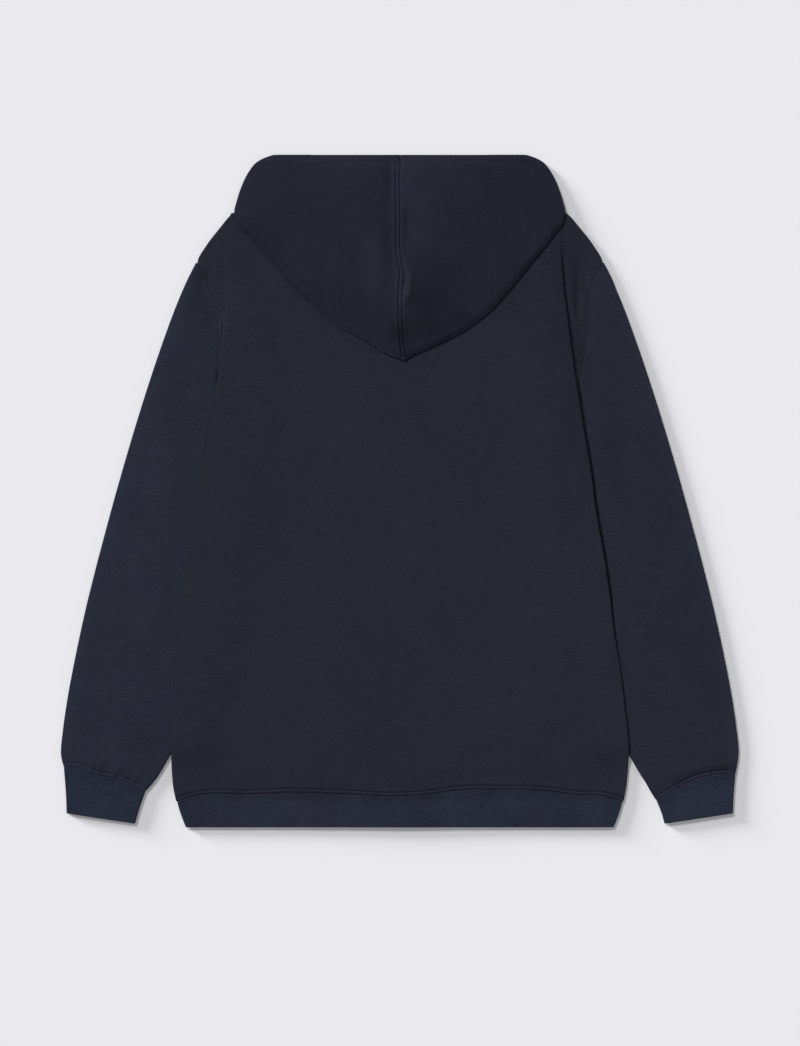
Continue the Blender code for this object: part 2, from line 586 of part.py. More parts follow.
def build_hood(side, material):
    sign = SIDES[side]
    sheet = Sheet()
    top = {n: column(HOOD_TOP_COLUMNS, HOOD_TOP_ROWS, n) for n in HOOD_TOP_COLUMNS}
    low = {n: column(HOOD_FOLD_COLUMNS, HOOD_FOLD_ROWS, n) for n in HOOD_FOLD_COLUMNS}
    rim_x, rim_y = column(HOOD_RIM_COLUMNS, HOOD_RIM_ROWS, "x"), column(HOOD_RIM_COLUMNS, HOOD_RIM_ROWS, "y")
    out_x = np.concatenate([top["outline_x"], low[side + "_x"]])
    out_y = np.concatenate([top["outline_y"], low[side + "_y"]])
    seam_y = np.concatenate([top["seam_y"], low["seam_y"]])
    count, notch = len(out_x), len(top["outline_x"])

    def seam_x(y, under=False):
        """Half width at the centre seam, measured towards this side."""
        if under:
            middle = 4.2 * (1 - smooth(147, 215, y)) - 2.5 * smooth(320, 372, y)
        else:
            middle = float(follow(SEAM_Y, SEAM_X, y))
        return sign * middle + GAP / 2

    out_x[0] = seam_x(out_y[0])
    out_x[-1] = seam_x(out_y[-1])
    normals = []
    for k in range(count):
        if k == 0:
            n = np.array((0.0, 1.0))
        elif k == count - 1:
            n = np.array((0.0, -1.0))
        else:
            d = np.array((out_x[k + 1] - out_x[k - 1], out_y[k + 1] - out_y[k - 1]))
            n = np.array((-d[1], d[0])) / np.linalg.norm(d)
        normals.append(n)

    def at(x, y, z, seam=False):
        return sheet.point(sign * x, y, z, seam)

    turns, lower_ids, upper_ids = [], [], []
    lower_z = []
    for k in range(count):
        n = normals[k]
        on_seam = k in (0, count - 1)
        if k >= notch - 1:
            z_low = hood_lower(sign * out_x[k], out_y[k])
        else:
            z_low = FLOOR
        z_high = max(hood_upper(sign * out_x[k], out_y[k], 0.0), z_low + LAYER)
        r = (z_high - z_low) / 2
        cx, cy = out_x[k] - n[0] * (CLOTH / 2 + r), out_y[k] - n[1] * (CLOTH / 2 + r)
        if on_seam:
            cx = out_x[k]
        line = []
        for j in range(TURN_STEPS + 1):
            a = math.pi * (j / TURN_STEPS - 0.5)
            px = cx + n[0] * r * math.cos(a)
            line.append(at(px, cy + n[1] * r * math.cos(a), z_low + r + r * math.sin(a), on_seam))
        turns.append(line)
        lower_ids.append(line[0])
        upper_ids.append(line[-1])
        lower_z.append(z_low)
    # upper side: rays from the outline to the centre seam
    rays = []
    cells = 5
    for k in range(count):
        start = np.array(sheet.points[upper_ids[k]])
        start[0] *= sign
        end = np.array((seam_x(seam_y[k]), seam_y[k]))
        line = [upper_ids[k]]
        reach = math.hypot(*(end - start[:2]))
        for j in range(1, cells + 1):
            t = j / cells
            x, y = start[0] + (end[0] - start[0]) * t, start[1] + (end[1] - start[1]) * t
            edge = k in (0, count - 1) or j == cells
            if edge:
                x = seam_x(y)
            z = hood_upper(sign * x, y, reach * t)
            if k in (0, count - 1):
                z = hood_upper(sign * x, y, abs(y - out_y[k]))
            elif j < cells:
                z = hood_upper(sign * x, y, min(reach * t, 60))
            line.append(at(x, y, max(z, start[2] - 1.5), edge))
        rays.append(line)
    sheet.grid([turns[k] + rays[k][1:] for k in range(count)])
    # passage from the shoulder down to the surface, and the pouch's lower side, up to the back neckline
    marks = [4, 3, 2, 1, 0]  # along the shoulder, from the notch to the neck point
    shoulder = [np.array((NECK_HALF + (186.0 - NECK_HALF) * m / 4, 0.0)) for m in marks]
    north = np.array((20.3, 94.0)) / math.hypot(20.3, 94.0)
    foot, crest, ends = [], [], []
    first = notch - 2  # the outline's point north of the shoulder
    for i, m in enumerate(marks):
        if i == 0:
            foot.append(lower_ids[first])
            crest.append(lower_ids[first + 1])
            ends.append(lower_ids[first + 2])
            continue
        x = shoulder[i][0]
        y = shoulder_line(x)
        px, py = top["inner_x"][first - i], top["inner_y"][first - i]
        foot.append(at(px, py, FLOOR + lift_at(px, py)))
        qx, qy = x + north[0] * 2.6, y + north[1] * 2.6
        crest.append(at(qx, qy, hood_lower(sign * x, 305.0)))
        qx, qy = x - north[0] * 4.0, y - north[1] * 4.0
        ends.append(at(qx, qy, hood_lower(sign * x, 305.0)))
    sheet.grid([ends[:5], crest, foot])
    for t in (0.28, 0.55, 0.8, 1.0):
        x = NECK_HALF * (1 - t)
        on_seam = t == 1.0
        y = back_neck(x) - 4.0
        if on_seam:
            x = seam_x(y, True)
        ends.append(at(x, y, hood_lower(sign * x, y), on_seam))
    lower_rays = []
    for i, k in enumerate(range(notch, count)):
        a, b = lower_ids[k], ends[i]
        if a == b:
            lower_rays.append([a] * 4)
            continue
        p, q = np.array(sheet.points[a]), np.array(sheet.points[b])
        line = [a]
        for t in (0.3, 0.65):
            x, y = p[0] + (q[0] - p[0]) * t, p[1] + (q[1] - p[1]) * t
            on_seam = k == count - 1
            if on_seam:
                x = sign * seam_x(y, True)
            line.append(sheet.point(x, y, hood_lower(x, y), on_seam))
        line.append(b)
        lower_rays.append(line)
    sheet.grid([line[::-1] for line in lower_rays])
    # the side on the surface: from the outline to the edge of the rim band
    inner_ids = []
    for k in range(4):
        x, y = top["inner_x"][k], top["inner_y"][k]
        if k == 0:
            x = seam_x(y, True)
        inner_ids.append(foot[4] if k == 3 else at(x, y, FLOOR + lift_at(x, y), k == 0))
    inner_ids += [foot[3], foot[2], foot[1], foot[0]]
    floor_rays = []
    for k in range(first + 1):
        a, b = lower_ids[k], inner_ids[k]
        if a == b:
            floor_rays.append([a] * 3)
            continue
        p, q = np.array(sheet.points[a]), np.array(sheet.points[b])
        m = (p + q) / 2
        floor_rays.append([b, sheet.point(m[0], m[1], FLOOR + lift_at(m[0], m[1]), k == 0), a])
    sheet.grid(floor_rays)
    # the rim band, from the top of the opening to the top of the zip
    outer = inner_ids[:4]
    for x in HOOD_NECK_X:
        y = front_neck(x) + 0.9
        outer.append(at(x - 0.5, y, FLOOR + lift_at(x, y)))
    band = []
    for k in range(len(rim_x)):
        x, y = rim_x[k], rim_y[k]
        if k == 0:
            x = seam_x(y, True)
        r_id = at(x, y, FLOOR + lift_at(x, y), k == 0)
        p, q = np.array(sheet.points[outer[k]]), np.array(sheet.points[r_id])
        m = (p + q) / 2
        band.append([r_id, sheet.point(m[0], m[1], FLOOR + lift_at(m[0], m[1]), k == 0), outer[k]])
    sheet.grid(band)
    if sign > 0:
        sheet.faces = [f[::-1] for f in sheet.faces]
    sheet.wall("hood_" + side, material)


# --- zip ----------------------------------------------------------------------------------------------------------
def zip_stations(start, end, step=30.0):
    count = max(2, int(round((end - start) / step)))
    return [start + (end - start) * k / count for k in range(count + 1)]


def bar(name, section, stations, material):
    """A closed bar: section(y) gives its corners as (x, z), in order round the bar."""
    points, faces = [], []
    for y in stations:
        corners = section(y)
        points += [(x, y, z) for x, z in corners]
    n = len(section(stations[0]))
    for i in range(len(stations) - 1):
        for j in range(n):
            k = (j + 1) % n
            faces.append((i * n + j, i * n + k, (i + 1) * n + k, (i + 1) * n + j))
    faces.append(tuple(range(n))[::-1])
    faces.append(tuple((len(stations) - 1) * n + j for j in range(n)))
    made = solid(name, points, faces, material)
    return made


def block(name, low, high, material=None):
    (x0, y0, z0), (x1, y1, z1) = low, high
    points = [(x, y, z) for z in (z0, z1) for y in (y0, y1) for x in (x0, x1)]
    faces = [(0, 2, 3, 1), (4, 5, 7, 6), (0, 1, 5, 4), (2, 6, 7, 3), (0, 4, 6, 2), (1, 3, 7, 5)]
    return solid(name, points, faces, material or bpy.data.materials["zip_metal"])


def outline_solid(name, outlines, z0, z1, material):
    """A plate with holes: the first outline is its edge, the next one a hole in it with as many points."""
    edge, hole = outlines
    n = len(edge)
    points = [(x, y, z) for z in (z0, z1) for ring in (edge, hole) for x, y in ring]
    faces = []
    for j in range(n):
        k = (j + 1) % n
        faces.append((j, n + j, n + k, k))
        faces.append((2 * n + j, 2 * n + k, 3 * n + k, 3 * n + j))
        faces.append((j, k, 2 * n + k, 2 * n + j))
        faces.append((n + j, 3 * n + j, 3 * n + k, n + k))
    return solid(name, points, faces, material)


def build_zip(tape, metal):
    for side, sign in SIDES.items():

        def section(y, sign=sign):
            top, low = [], []
            for k in range(4):
                x = TAPE_INNER + (TAPE_OUTER - TAPE_INNER) * k / 3
                z = TAPE_MID + lift_at(x, y)
                top.append((sign * x, z + TAPE_THICK / 2))
                low.append((sign * x, z - TAPE_THICK / 2))
            ring = top + low[::-1]
            return ring if sign > 0 else ring[::-1]

        bar("zip_tape_" + side, section, zip_stations(ZIP_BOTTOM + 0.4, ZIP_TOP - 1.0), tape)

    def chain(y):
        z = CHAIN_MID + lift_at(0.0, y)
        a, b, h = CHAIN_HALF, CHAIN_HALF - 0.7, CHAIN_THICK / 2
        return [(-b, z + h), (b, z + h), (a, z), (b, z - h), (-b, z - h), (-a, z)]

    bar("zip_chain", chain, zip_stations(ZIP_BOTTOM + 9.0, SLIDER_Y + 1.0), metal)
    block("zip_box", (-4.4, ZIP_BOTTOM + 0.4, 1.1), (4.4, ZIP_BOTTOM + 8.5, TAPE_MID - TAPE_THICK / 2 - GAP), metal)
    for side, sign in SIDES.items():
        z = CHAIN_MID + lift_at(0.0, SLIDER_Y + 9)
        x = sorted((sign * 0.6, sign * 3.0))
        block("zip_stop_" + side, (x[0], SLIDER_Y + 7.0, z - 1.0), (x[1], SLIDER_Y + 10.0, z + 1.0), metal)

    # slider: a front plate with the bridge, a back plate, and the post between them
    y_top, y_low = SLIDER_Y + SLIDER_LENGTH / 2, SLIDER_Y - SLIDER_LENGTH / 2
    plate_2 = PLATE_Z + PLATE + 0.2 + CHAIN_THICK + 0.2

    def plate(name, z0, z1):
        edge = [(-SLIDER_HALF_LOW, y_low), (SLIDER_HALF_LOW, y_low), (SLIDER_HALF_TOP, y_top - 4), (SLIDER_HALF_TOP, y_top - 1), (0.0, y_top), (-SLIDER_HALF_TOP, y_top - 1), (-SLIDER_HALF_TOP, y_top - 4)]
        points = [(x, y, z) for z in (z0, z1) for x, y in edge]
        n = len(edge)
        faces = [tuple(range(n))[::-1], tuple(range(n, 2 * n))] + [(j, (j + 1) % n, n + (j + 1) % n, n + j) for j in range(n)]
        return solid(name, points, faces, metal)

    body = plate("zip_slider", PLATE_Z, PLATE_Z + PLATE)
    extra = [
        plate("guide_plate", plate_2, plate_2 + PLATE),
        block("guide_post", (-1.0, SLIDER_Y + 2.4, PLATE_Z + 0.3), (1.0, SLIDER_Y + 4.8, plate_2 + 0.4), metal),
        block("guide_leg_a", (-BRIDGE_HALF, SLIDER_Y - BRIDGE_REACH, BRIDGE_LOW), (BRIDGE_HALF, SLIDER_Y - BRIDGE_REACH + BRIDGE_WALL, PLATE_Z + 0.4), metal),
        block("guide_leg_b", (-BRIDGE_HALF, SLIDER_Y + BRIDGE_REACH - BRIDGE_WALL, BRIDGE_LOW), (BRIDGE_HALF, SLIDER_Y + BRIDGE_REACH, PLATE_Z + 0.4), metal),
        block("guide_crown", (-BRIDGE_HALF, SLIDER_Y - BRIDGE_REACH + 0.2, BRIDGE_LOW), (BRIDGE_HALF, SLIDER_Y + BRIDGE_REACH - 0.2, BRIDGE_LOW + BRIDGE_WALL - 0.05), metal),
    ]
    for piece in extra:
        piece.hide_render = True
        piece.display_type = "WIRE"
        join = body.modifiers.new(piece.name, "BOOLEAN")
        join.operation = "UNION"
        join.solver = "EXACT"
        join.object = piece

    # pull tab, its origin on the hinge
    half = TAB_THICK / 2
    bar_half = 0.55
    edge = [
        (-TAB_ARM_OUT, bar_half),
        (-TAB_ARM_OUT, -TAB_HOLE - 1.6),
        (-TAB_HALF, -TAB_HOLE - 4.0),
        (-TAB_HALF + 0.4, -TAB_LENGTH),
        (TAB_HALF - 0.4, -TAB_LENGTH),
        (TAB_HALF, -TAB_HOLE - 4.0),
        (TAB_ARM_OUT, -TAB_HOLE - 1.6),
        (TAB_ARM_OUT, bar_half),
    ]
    hole = [
        (-TAB_ARM_IN, -bar_half),
        (-TAB_ARM_IN, -TAB_HOLE + 1.2),
        (-TAB_ARM_IN, -TAB_HOLE + 0.5),
        (-TAB_ARM_IN + 0.6, -TAB_HOLE),
        (TAB_ARM_IN - 0.6, -TAB_HOLE),
        (TAB_ARM_IN, -TAB_HOLE + 0.5),
        (TAB_ARM_IN, -TAB_HOLE + 1.2),
        (TAB_ARM_IN, -bar_half),
    ]
    tab = outline_solid("zip_pull_tab", (edge, hole), -half, half, metal)
    tab.location = (0.0, SLIDER_Y * MM, TAB_Z * MM)


fleece = finish("fleece", (0.021, 0.022, 0.034), 0.95, 0.0)
rib = finish("rib", (0.021, 0.025, 0.038), 0.9, 0.0)
tape = finish("zip_tape", (0.016, 0.018, 0.028), 0.8, 0.0)
metal = finish("zip_metal", (0.12, 0.12, 0.13), 0.35, 1.0)

back_spots = build_back(fleece)
front_spots = {}
for which in SIDES:
    front_spots[which] = build_front(which, fleece)
    build_sleeve(which, fleece, rib)
    build_hood(which, fleece)
build_hem(rib, back_spots, front_spots)
build_zip(tape, metal)

for made in bpy.context.scene.collection.objects:
    if made.type == "MESH" and not made.name.startswith("zip"):
        made.data.shade_smooth()
        made.data.set_sharp_from_angle(angle=math.radians(50))
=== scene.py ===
"""Looks of a zip-up hoodie that lies flat with its back up, its sleeves beside the body and its hood spread.

Sizes are in millimetres here and become metres in the meshes. Every cloth piece is a closed thin shell round a middle
surface. The surface is worked out from short tables of sections, and the creases, seams and ribs are added to it.
"""

import math

import bpy
import numpy as np
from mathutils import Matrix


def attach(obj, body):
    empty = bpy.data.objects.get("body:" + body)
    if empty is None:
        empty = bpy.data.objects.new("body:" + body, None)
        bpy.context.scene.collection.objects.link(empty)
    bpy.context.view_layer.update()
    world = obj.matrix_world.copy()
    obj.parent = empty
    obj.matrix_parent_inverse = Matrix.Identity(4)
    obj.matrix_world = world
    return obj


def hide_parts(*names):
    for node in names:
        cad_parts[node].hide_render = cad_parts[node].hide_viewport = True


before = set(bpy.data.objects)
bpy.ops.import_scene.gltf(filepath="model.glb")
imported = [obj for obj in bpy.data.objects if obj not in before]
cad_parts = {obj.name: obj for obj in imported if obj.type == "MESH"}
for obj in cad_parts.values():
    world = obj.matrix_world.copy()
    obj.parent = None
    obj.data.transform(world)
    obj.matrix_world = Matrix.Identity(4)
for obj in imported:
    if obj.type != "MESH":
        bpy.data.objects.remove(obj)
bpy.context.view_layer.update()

MM = 0.001
PX = 1.12  # millimetres of cloth for one pixel of the picture
PX_X, PX_Y = 399.75, 491.3  # the picture's point that is the frame's origin
SIDES = {"left": -1.0, "right": 1.0}

# --- cloth and layers ---------------------------------------------------------------------------------------------
CLOTH, GAP, LAYER = 2.0, 0.3, 2.5
FLOOR = CLOTH / 2
BACK = FLOOR + LAYER
SEAM_SHIFT = 2.8  # a sewn seam lies this far below the middle of its two lines of stitches
TOPSTITCH = 3.9  # from a seam to the line of stitches beside it
HOOD_TOPSTITCH = 4.4
RIB_PITCH, RIB_DEPTH = 2.1, 0.17

# --- body ---------------------------------------------------------------------------------------------------------
HEM_SEAM_LOW, HEM_BOTTOM, HEM_BOTTOM_HALF = -345.0, -376.6, 239.8
UNDERARM_Y, SHOULDER_TIP_Y, BODY_TOP_Y = 24.0, 256.0, 309.0
NECK_HALF, NECK_POINT_Y, BACK_NECK_Y, FRONT_NECK_Y, FRONT_NECK_POWER = 92.0, 332.0, 312.0, 247.0, 2.6
FRONT_EDGE, SIDE_RAMP, BACK_RAMP = 8.0, 14.0, 74.0

BODY_COLUMNS = ("y", "fold_left", "fold_right", "seam_left", "seam_right", "step_left", "step_right")
BODY_ROWS = (
    (-345.0, 251.0, 251.0, 243.0, 243.0, 2.5, 2.5),
    (-323.0, 254.8, 254.4, 246.0, 245.5, 2.5, 2.5),
    (-300.0, 256.0, 255.8, 248.0, 248.0, 2.5, 2.5),
    (-272.0, 254.8, 254.0, 246.0, 245.5, 2.5, 2.5),
    (-230.0, 252.6, 249.8, 238.0, 237.5, 2.5, 2.5),
    (-180.0, 250.0, 244.3, 227.0, 227.0, 2.5, 2.5),
    (-130.0, 247.0, 237.8, 216.0, 216.0, 2.5, 2.5),
    (-75.0, 241.5, 230.6, 204.5, 204.5, 2.5, 2.5),
    (-20.0, 234.0, 222.6, 193.5, 193.5, 2.5, 2.5),
    (24.0, 222.6, 216.0, 186.0, 186.0, 2.5, 2.5),
    (64.0, 214.8, 208.9, 190.0, 191.5, 2.5, 2.5),
    (102.0, 207.9, 202.7, 192.8, 196.5, 2.5, 2.5),
    (135.0, 202.9, 197.2, 194.7, 203.5, 2.5, 2.5),
    (155.0, 201.2, 194.5, 196.8, 207.2, 2.5, 2.8),
    (174.0, 199.1, 191.8, 199.1, 209.6, 2.5, 3.0),
    (194.0, 196.9, 189.0, 200.4, 210.7, 2.2, 3.0),
    (212.0, 194.8, 186.5, 207.8, 210.9, 1.6, 2.8),
    (235.0, 192.5, 184.1, 217.0, 215.4, 1.1, 2.2),
    (256.0, 191.3, 182.5, 226.2, 226.6, 0.7, 2.0),
    (275.0, 189.2, 181.6, 216.4, 216.9, 0.4, 1.5),
    (292.0, 187.3, 181.7, 203.4, 203.8, 0.2, 0.6),
    (309.0, 185.6, 183.2, 189.4, 189.4, 0.0, 0.0),
)
HEM_COLUMNS = ("x", "y")
HEM_ROWS = (
    (-252.0, -345.0), (-231.6, -339.0), (-217.0, -336.2), (-175.0, -336.6), (-119.6, -334.6), (-59.0, -336.4),
    (-8.7, -338.9), (21.6, -337.6), (70.8, -331.6), (112.0, -331.2), (167.0, -333.0), (204.0, -337.8),
    (225.0, -338.0), (252.0, -345.1),
)

# --- sleeves ------------------------------------------------------------------------------------------------------
SLEEVE_COLUMNS = ("outer_x", "outer_y", "inner_x", "inner_y", "bow_left", "bow_right")
SLEEVE_ROWS = (
    (227.2, 256.0, 188.0, 24.0, 0.0, 0.0),
    (249.5, 208.7, 196.8, -23.0, 9.0, 7.0),
    (276.2, 134.0, 206.0, -70.0, 4.0, 4.0),
    (304.0, 45.0, 217.5, -126.0, 1.0, 1.0),
    (330.0, -47.5, 229.0, -179.0, 0.0, 0.0),
    (350.5, -128.0, 236.0, -226.0, 0.0, 0.0),
    (367.0, -208.0, 243.5, -270.5, 0.0, 0.0),
    (375.0, -258.4, 260.2, -301.0, 0.0, 0.0),
    (379.1, -291.5, 272.2, -321.1, 0.0, 0.0),
    (376.6, -305.4, 284.0, -333.6, 0.0, 0.0),
)
ARMHOLE_HEIGHTS = (255.6, 236.0, 212.0, 194.0, 174.0, 155.0, 135.0, 105.0, 78.0, 50.0, 24.0)
SLEEVE_CROWN = 2.0
CUFF_OUTER, CUFF_INNER = (373.6, -361.0), (296.8, -372.6)
CUFF_LAYER = 2.8

# --- hood ---------------------------------------------------------------------------------------------------------
HOOD_TOP_COLUMNS = ("outline_x", "outline_y", "seam_y", "inner_x", "inner_y")
HOOD_TOP_ROWS = (
    (0.0, 376.6, 366.0, 0.0, 371.0),
    (48.0, 376.6, 352.0, 34.0, 362.0),
    (95.0, 376.6, 338.0, 66.0, 351.0),
    (141.0, 376.6, 325.0, 93.7, 340.0),
    (160.8, 367.7, 313.0, 118.0, 334.8),
    (171.0, 354.3, 302.0, 142.0, 329.6),
    (177.6, 339.7, 291.0, 163.0, 325.0),
    (182.6, 324.0, 281.0, 182.6, 324.0),
    (184.8, 314.0, 273.0, 184.8, 314.0),
)
HOOD_FOLD_COLUMNS = ("left_x", "left_y", "right_x", "right_y", "seam_y")
HOOD_FOLD_ROWS = (
    (183.6, 303.6, 184.0, 303.9, 264.0),
    (168.0, 285.5, 170.0, 283.0, 254.0),
    (148.0, 263.4, 149.0, 258.7, 242.0),
    (122.0, 232.0, 124.0, 228.4, 228.0),
    (96.5, 207.0, 98.0, 200.3, 214.0),
    (68.0, 184.8, 70.0, 179.2, 200.0),
    (38.0, 168.4, 39.0, 163.2, 186.0),
    (13.0, 153.0, 15.5, 152.9, 172.0),
    (-4.2, 147.1, 4.2, 147.1, 158.0),
)
HOOD_RIM_COLUMNS = ("x", "y")
HOOD_RIM_ROWS = ((0.0, 361.0), (28.0, 351.0), (51.0, 338.0), (64.0, 321.0), (61.0, 300.0), (50.0, 281.5), (32.0, 268.5), (6.0, 259.5))
HOOD_NECK_X = (84.6, 71.0, 45.0, 6.0)
HOOD_SEAM_COLUMNS = ("y", "x")
HOOD_SEAM_ROWS = (
    (147.0, 4.2), (163.0, 2.0), (181.0, 0.5), (214.0, -0.3), (228.0, 0.3), (242.0, 1.4), (253.5, -0.2), (270.0, -2.6),
    (305.0, -2.6), (340.0, -3.1), (377.0, -2.5),
)
HOOD_TOP_DROP = 3.4

# --- zip ----------------------------------------------------------------------------------------------------------
TAPE_INNER, TAPE_OUTER, TAPE_THICK = 3.4, 17.0, 0.7
TAPE_MID = CLOTH + GAP + TAPE_THICK / 2
CHAIN_MID, CHAIN_THICK = 2.35, 1.9
ZIP_BOTTOM, ZIP_TOP, SLIDER_Y = -375.4, 246.0, 235.0
LIFT, LIFT_HALF_WIDTH = 2.6, 48.0

# Soft creases of the upper side, in the picture's points: on which piece each lies, where it runs, how wide it is and
# how high it is (a trough is negative). Every crease is lower towards its ends.
CREASE_COLUMNS = ("piece", "run", "width", "height")
CREASES = (
    ("back", ((337, 420), (340, 560), (332, 700), (330, 780)), 30, 0.55),
    ("back", ((404, 470), (392, 600), (380, 700), (384, 785)), 26, -0.5),
    ("back", ((560, 430), (548, 560), (552, 700), (548, 770)), 24, 0.5),
    ("back", ((470, 380), (455, 500), (462, 640)), 30, 0.35),
    ("back", ((486, 470), (500, 560), (492, 640)), 16, -0.35),
    ("back", ((575, 265), (577, 290), (578, 318)), 2.4, -1.9),
    ("back", ((569, 258), (571, 282), (572, 305)), 3.0, 0.9),
    ("back", ((584, 272), (584, 292), (584, 318)), 3.6, 1.2),
    ("back", ((470, 777), (500, 776), (540, 779), (566, 783)), 3.0, -0.5),
    ("back", ((440, 768), (490, 766), (545, 769)), 6.0, 0.45),
    ("back", ((617, 755), (616, 775), (613, 798)), 4.0, -0.7),
    ("back", ((200, 775), (230, 768), (262, 772)), 6.0, 0.3),
    ("back", ((300, 760), (345, 772), (380, 770)), 7.0, -0.3),
    ("back", ((228, 258), (228, 300), (227, 334)), 4.5, 0.7),
    ("back", ((221, 254), (221.5, 270), (222, 288)), 3.0, -0.8),
    ("back", ((201.5, 270), (201.5, 280), (203, 291)), 3.0, -0.9),
    ("back", ((250, 262), (262, 300), (268, 345)), 14.0, 0.35),
    ("back", ((520, 330), (535, 370), (548, 420)), 16.0, 0.4),
    ("hood", ((389, 150), (389, 172), (391, 196)), 6.0, -1.0),
    ("hood", ((414, 150), (413, 178), (408, 208)), 8.0, 0.9),
    ("hood", ((377, 236), (376, 270), (372, 312)), 8.5, 0.95),
    ("hood", ((392, 324), (391, 338), (392, 352)), 6.0, -0.8),
    ("hood", ((401, 256), (408, 270), (410, 282), (408.5, 294), (404, 304)), 3.4, 1.7),
    ("hood", ((405, 279), (405, 289)), 2.2, -1.2),
    ("hood", ((407, 203), (407.5, 226), (406, 248)), 4.0, -0.7),
    ("hood", ((420, 310), (436, 322), (452, 336)), 15.0, -1.0),
    ("hood", ((455, 262), (490, 240), (520, 205)), 24.0, 0.7),
    ("hood", ((300, 190), (330, 215), (352, 250)), 26.0, 0.5),
    ("hood", ((268, 205), (300, 238), (330, 280)), 14.0, -0.35),
    ("hood", ((440, 190), (470, 205), (505, 205)), 20.0, -0.5),
    ("hood", ((287, 168.5), (302, 167), (325, 164.5), (366, 162), (394, 159)), 1.6, -0.42),
    ("hood", ((491, 162), (520, 162), (532, 161), (540, 160)), 1.6, -0.5),
    ("hood", ((404, 158.5), (440, 158.5), (491, 162)), 1.6, -0.16),
    ("sleeve_left", ((150, 330), (170, 420), (150, 560), (118, 690)), 22, 0.5),
    ("sleeve_left", ((190, 330), (196, 420), (180, 540)), 12, -0.45),
    ("sleeve_left", ((100, 620), (92, 690), (84, 742)), 12, -0.4),
    ("sleeve_left", ((76, 738), (77, 750), (80, 762)), 5, -0.9),
    ("sleeve_left", ((93, 748), (96, 760), (99, 770)), 5, 0.9),
    ("sleeve_left", ((140, 736), (137, 752), (134, 776)), 5, -0.9),
    ("sleeve_left", ((118, 742), (118, 760), (119, 773)), 6, 0.6),
    ("sleeve_right", ((655, 330), (640, 440), (662, 600), (684, 700)), 22, 0.45),
    ("sleeve_right", ((612, 330), (618, 430), (640, 560)), 13, -0.45),
    ("sleeve_right", ((700, 640), (708, 700), (716, 745)), 12, -0.4),
    ("sleeve_right", ((668, 744), (672, 765), (677, 782)), 6, 0.8),
    ("sleeve_right", ((690, 748), (693, 764), (694, 774)), 5, -0.8),
    ("sleeve_right", ((716, 746), (714, 758), (712, 768)), 6, 0.7),
)


# Painted light and shade: soft patches painted lighter or darker where light and shade fall, in the picture's points.
PAINTED_SHADING_COLUMNS = ("piece", "middle", "reach", "amount")
PAINTED_SHADING = (
    ("hood", (535, 230), (72, 95), -0.12),
    ("hood", (417, 188), (17, 42), 0.21),
    ("hood", (405, 226), (4, 20), -0.2),
    ("hood", (390, 176), (6, 18), -0.12),
    ("hood", (438, 306), (22, 30), -0.29),
    ("hood", (452, 268), (28, 16), -0.12),
    ("hood", (336, 170), (24, 16), 0.1),
    ("hood", (389, 241), (8, 22), -0.17),
    ("hood", (374, 273), (9, 32), 0.13),
    ("hood", (400, 334), (9, 18), -0.6),
    ("hood", (420, 329), (20, 13), -0.2),
    ("hood", (407, 278), (6, 20), 0.24),
    ("hood", (552, 292), (34, 38), -0.25),
    ("hood", (488, 200), (14, 22), -0.07),
    ("hood", (515, 158), (26, 8), -0.1),
    ("hood", (448, 166), (12, 16), 0.1),
    ("hood", (494, 262), (15, 24), 0.13),
    ("hood", (470, 232), (22, 9), -0.07),
    ("hood", (464, 318), (10, 10), -0.26),
    ("hood", (448, 334), (18, 10), -0.12),
    ("hood", (355, 300), (12, 8), -0.1),
    ("hood", (403, 292), (6, 15), 0.22),
    ("hood", (530, 240), (16, 20), 0.16),
    ("hood", (484, 240), (9, 12), -0.12),
    ("hood", (424, 298), (7, 10), -0.13),
    ("hood", (442, 316), (10, 8), 0.1),
    ("hood", (346, 302), (12, 8), -0.07),
    ("hood", (392, 236), (10, 12), -0.1),
    ("hood", (416, 300), (6, 9), -0.16),
    ("hood", (420, 350), (6, 7), 0.18),
    ("hood", (372, 318), (16, 12), -0.1),
    ("hood", (246, 256), (18, 34), -0.14),
    ("hood", (322, 292), (24, 16), -0.1),
    ("back", (578, 330), (30, 150), -0.17),
    ("back", (560, 262), (10, 12), -0.06),
    ("back", (532, 300), (28, 36), -0.1),
    ("back", (588.4, 279.5), (2.2, 13), 0.32),
    ("back", (566, 282), (8, 24), -0.1),
    ("back", (250, 278), (12, 26), -0.09),
    ("back", (575, 660), (14, 24), -0.08),
    ("back", (388, 715), (20, 34), -0.05),
    ("back", (372, 680), (34, 110), -0.07),
    ("back", (236, 266), (14, 24), -0.09),
    ("back", (204, 279), (4, 13), -0.28),
    ("back", (221.5, 270), (3.5, 17), -0.14),
    ("back", (228.5, 298), (3.2, 38), 0.1),
    ("back", (576, 290), (2.4, 25), -0.24),
    ("back", (568.5, 284), (2.4, 25), 0.1),
    ("back", (583, 308), (2.6, 16), 0.12),
    ("sleeve_left", (176, 420), (18, 110), -0.08),
    ("sleeve_left", (174, 300), (12, 30), 0.12),
    ("sleeve_left", (205, 316), (15, 36), -0.17),
    ("sleeve_left", (199, 276), (5, 15), -0.28),
    ("sleeve_left", (216, 376), (1.6, 5), -0.6),
    ("sleeve_left", (221, 327), (1.8, 10), 0.9),
    ("sleeve_left", (219.2, 346), (1.7, 12), 0.3),
    ("back", (221.4, 327), (1.8, 10), 0.7),
    ("back", (219.6, 346), (1.7, 12), 0.28),
    ("sleeve_left", (142, 740), (10, 26), -0.1),
    ("sleeve_right", (612, 430), (16, 70), -0.09),
    ("sleeve_right", (668, 620), (40, 90), -0.05),
    ("sleeve_right", (716, 690), (16, 30), -0.08),
)


# --- helpers ------------------------------------------------------------------------------------------------------
def column(names, rows, name):
    return np.array([row[names.index(name)] for row in rows], float)


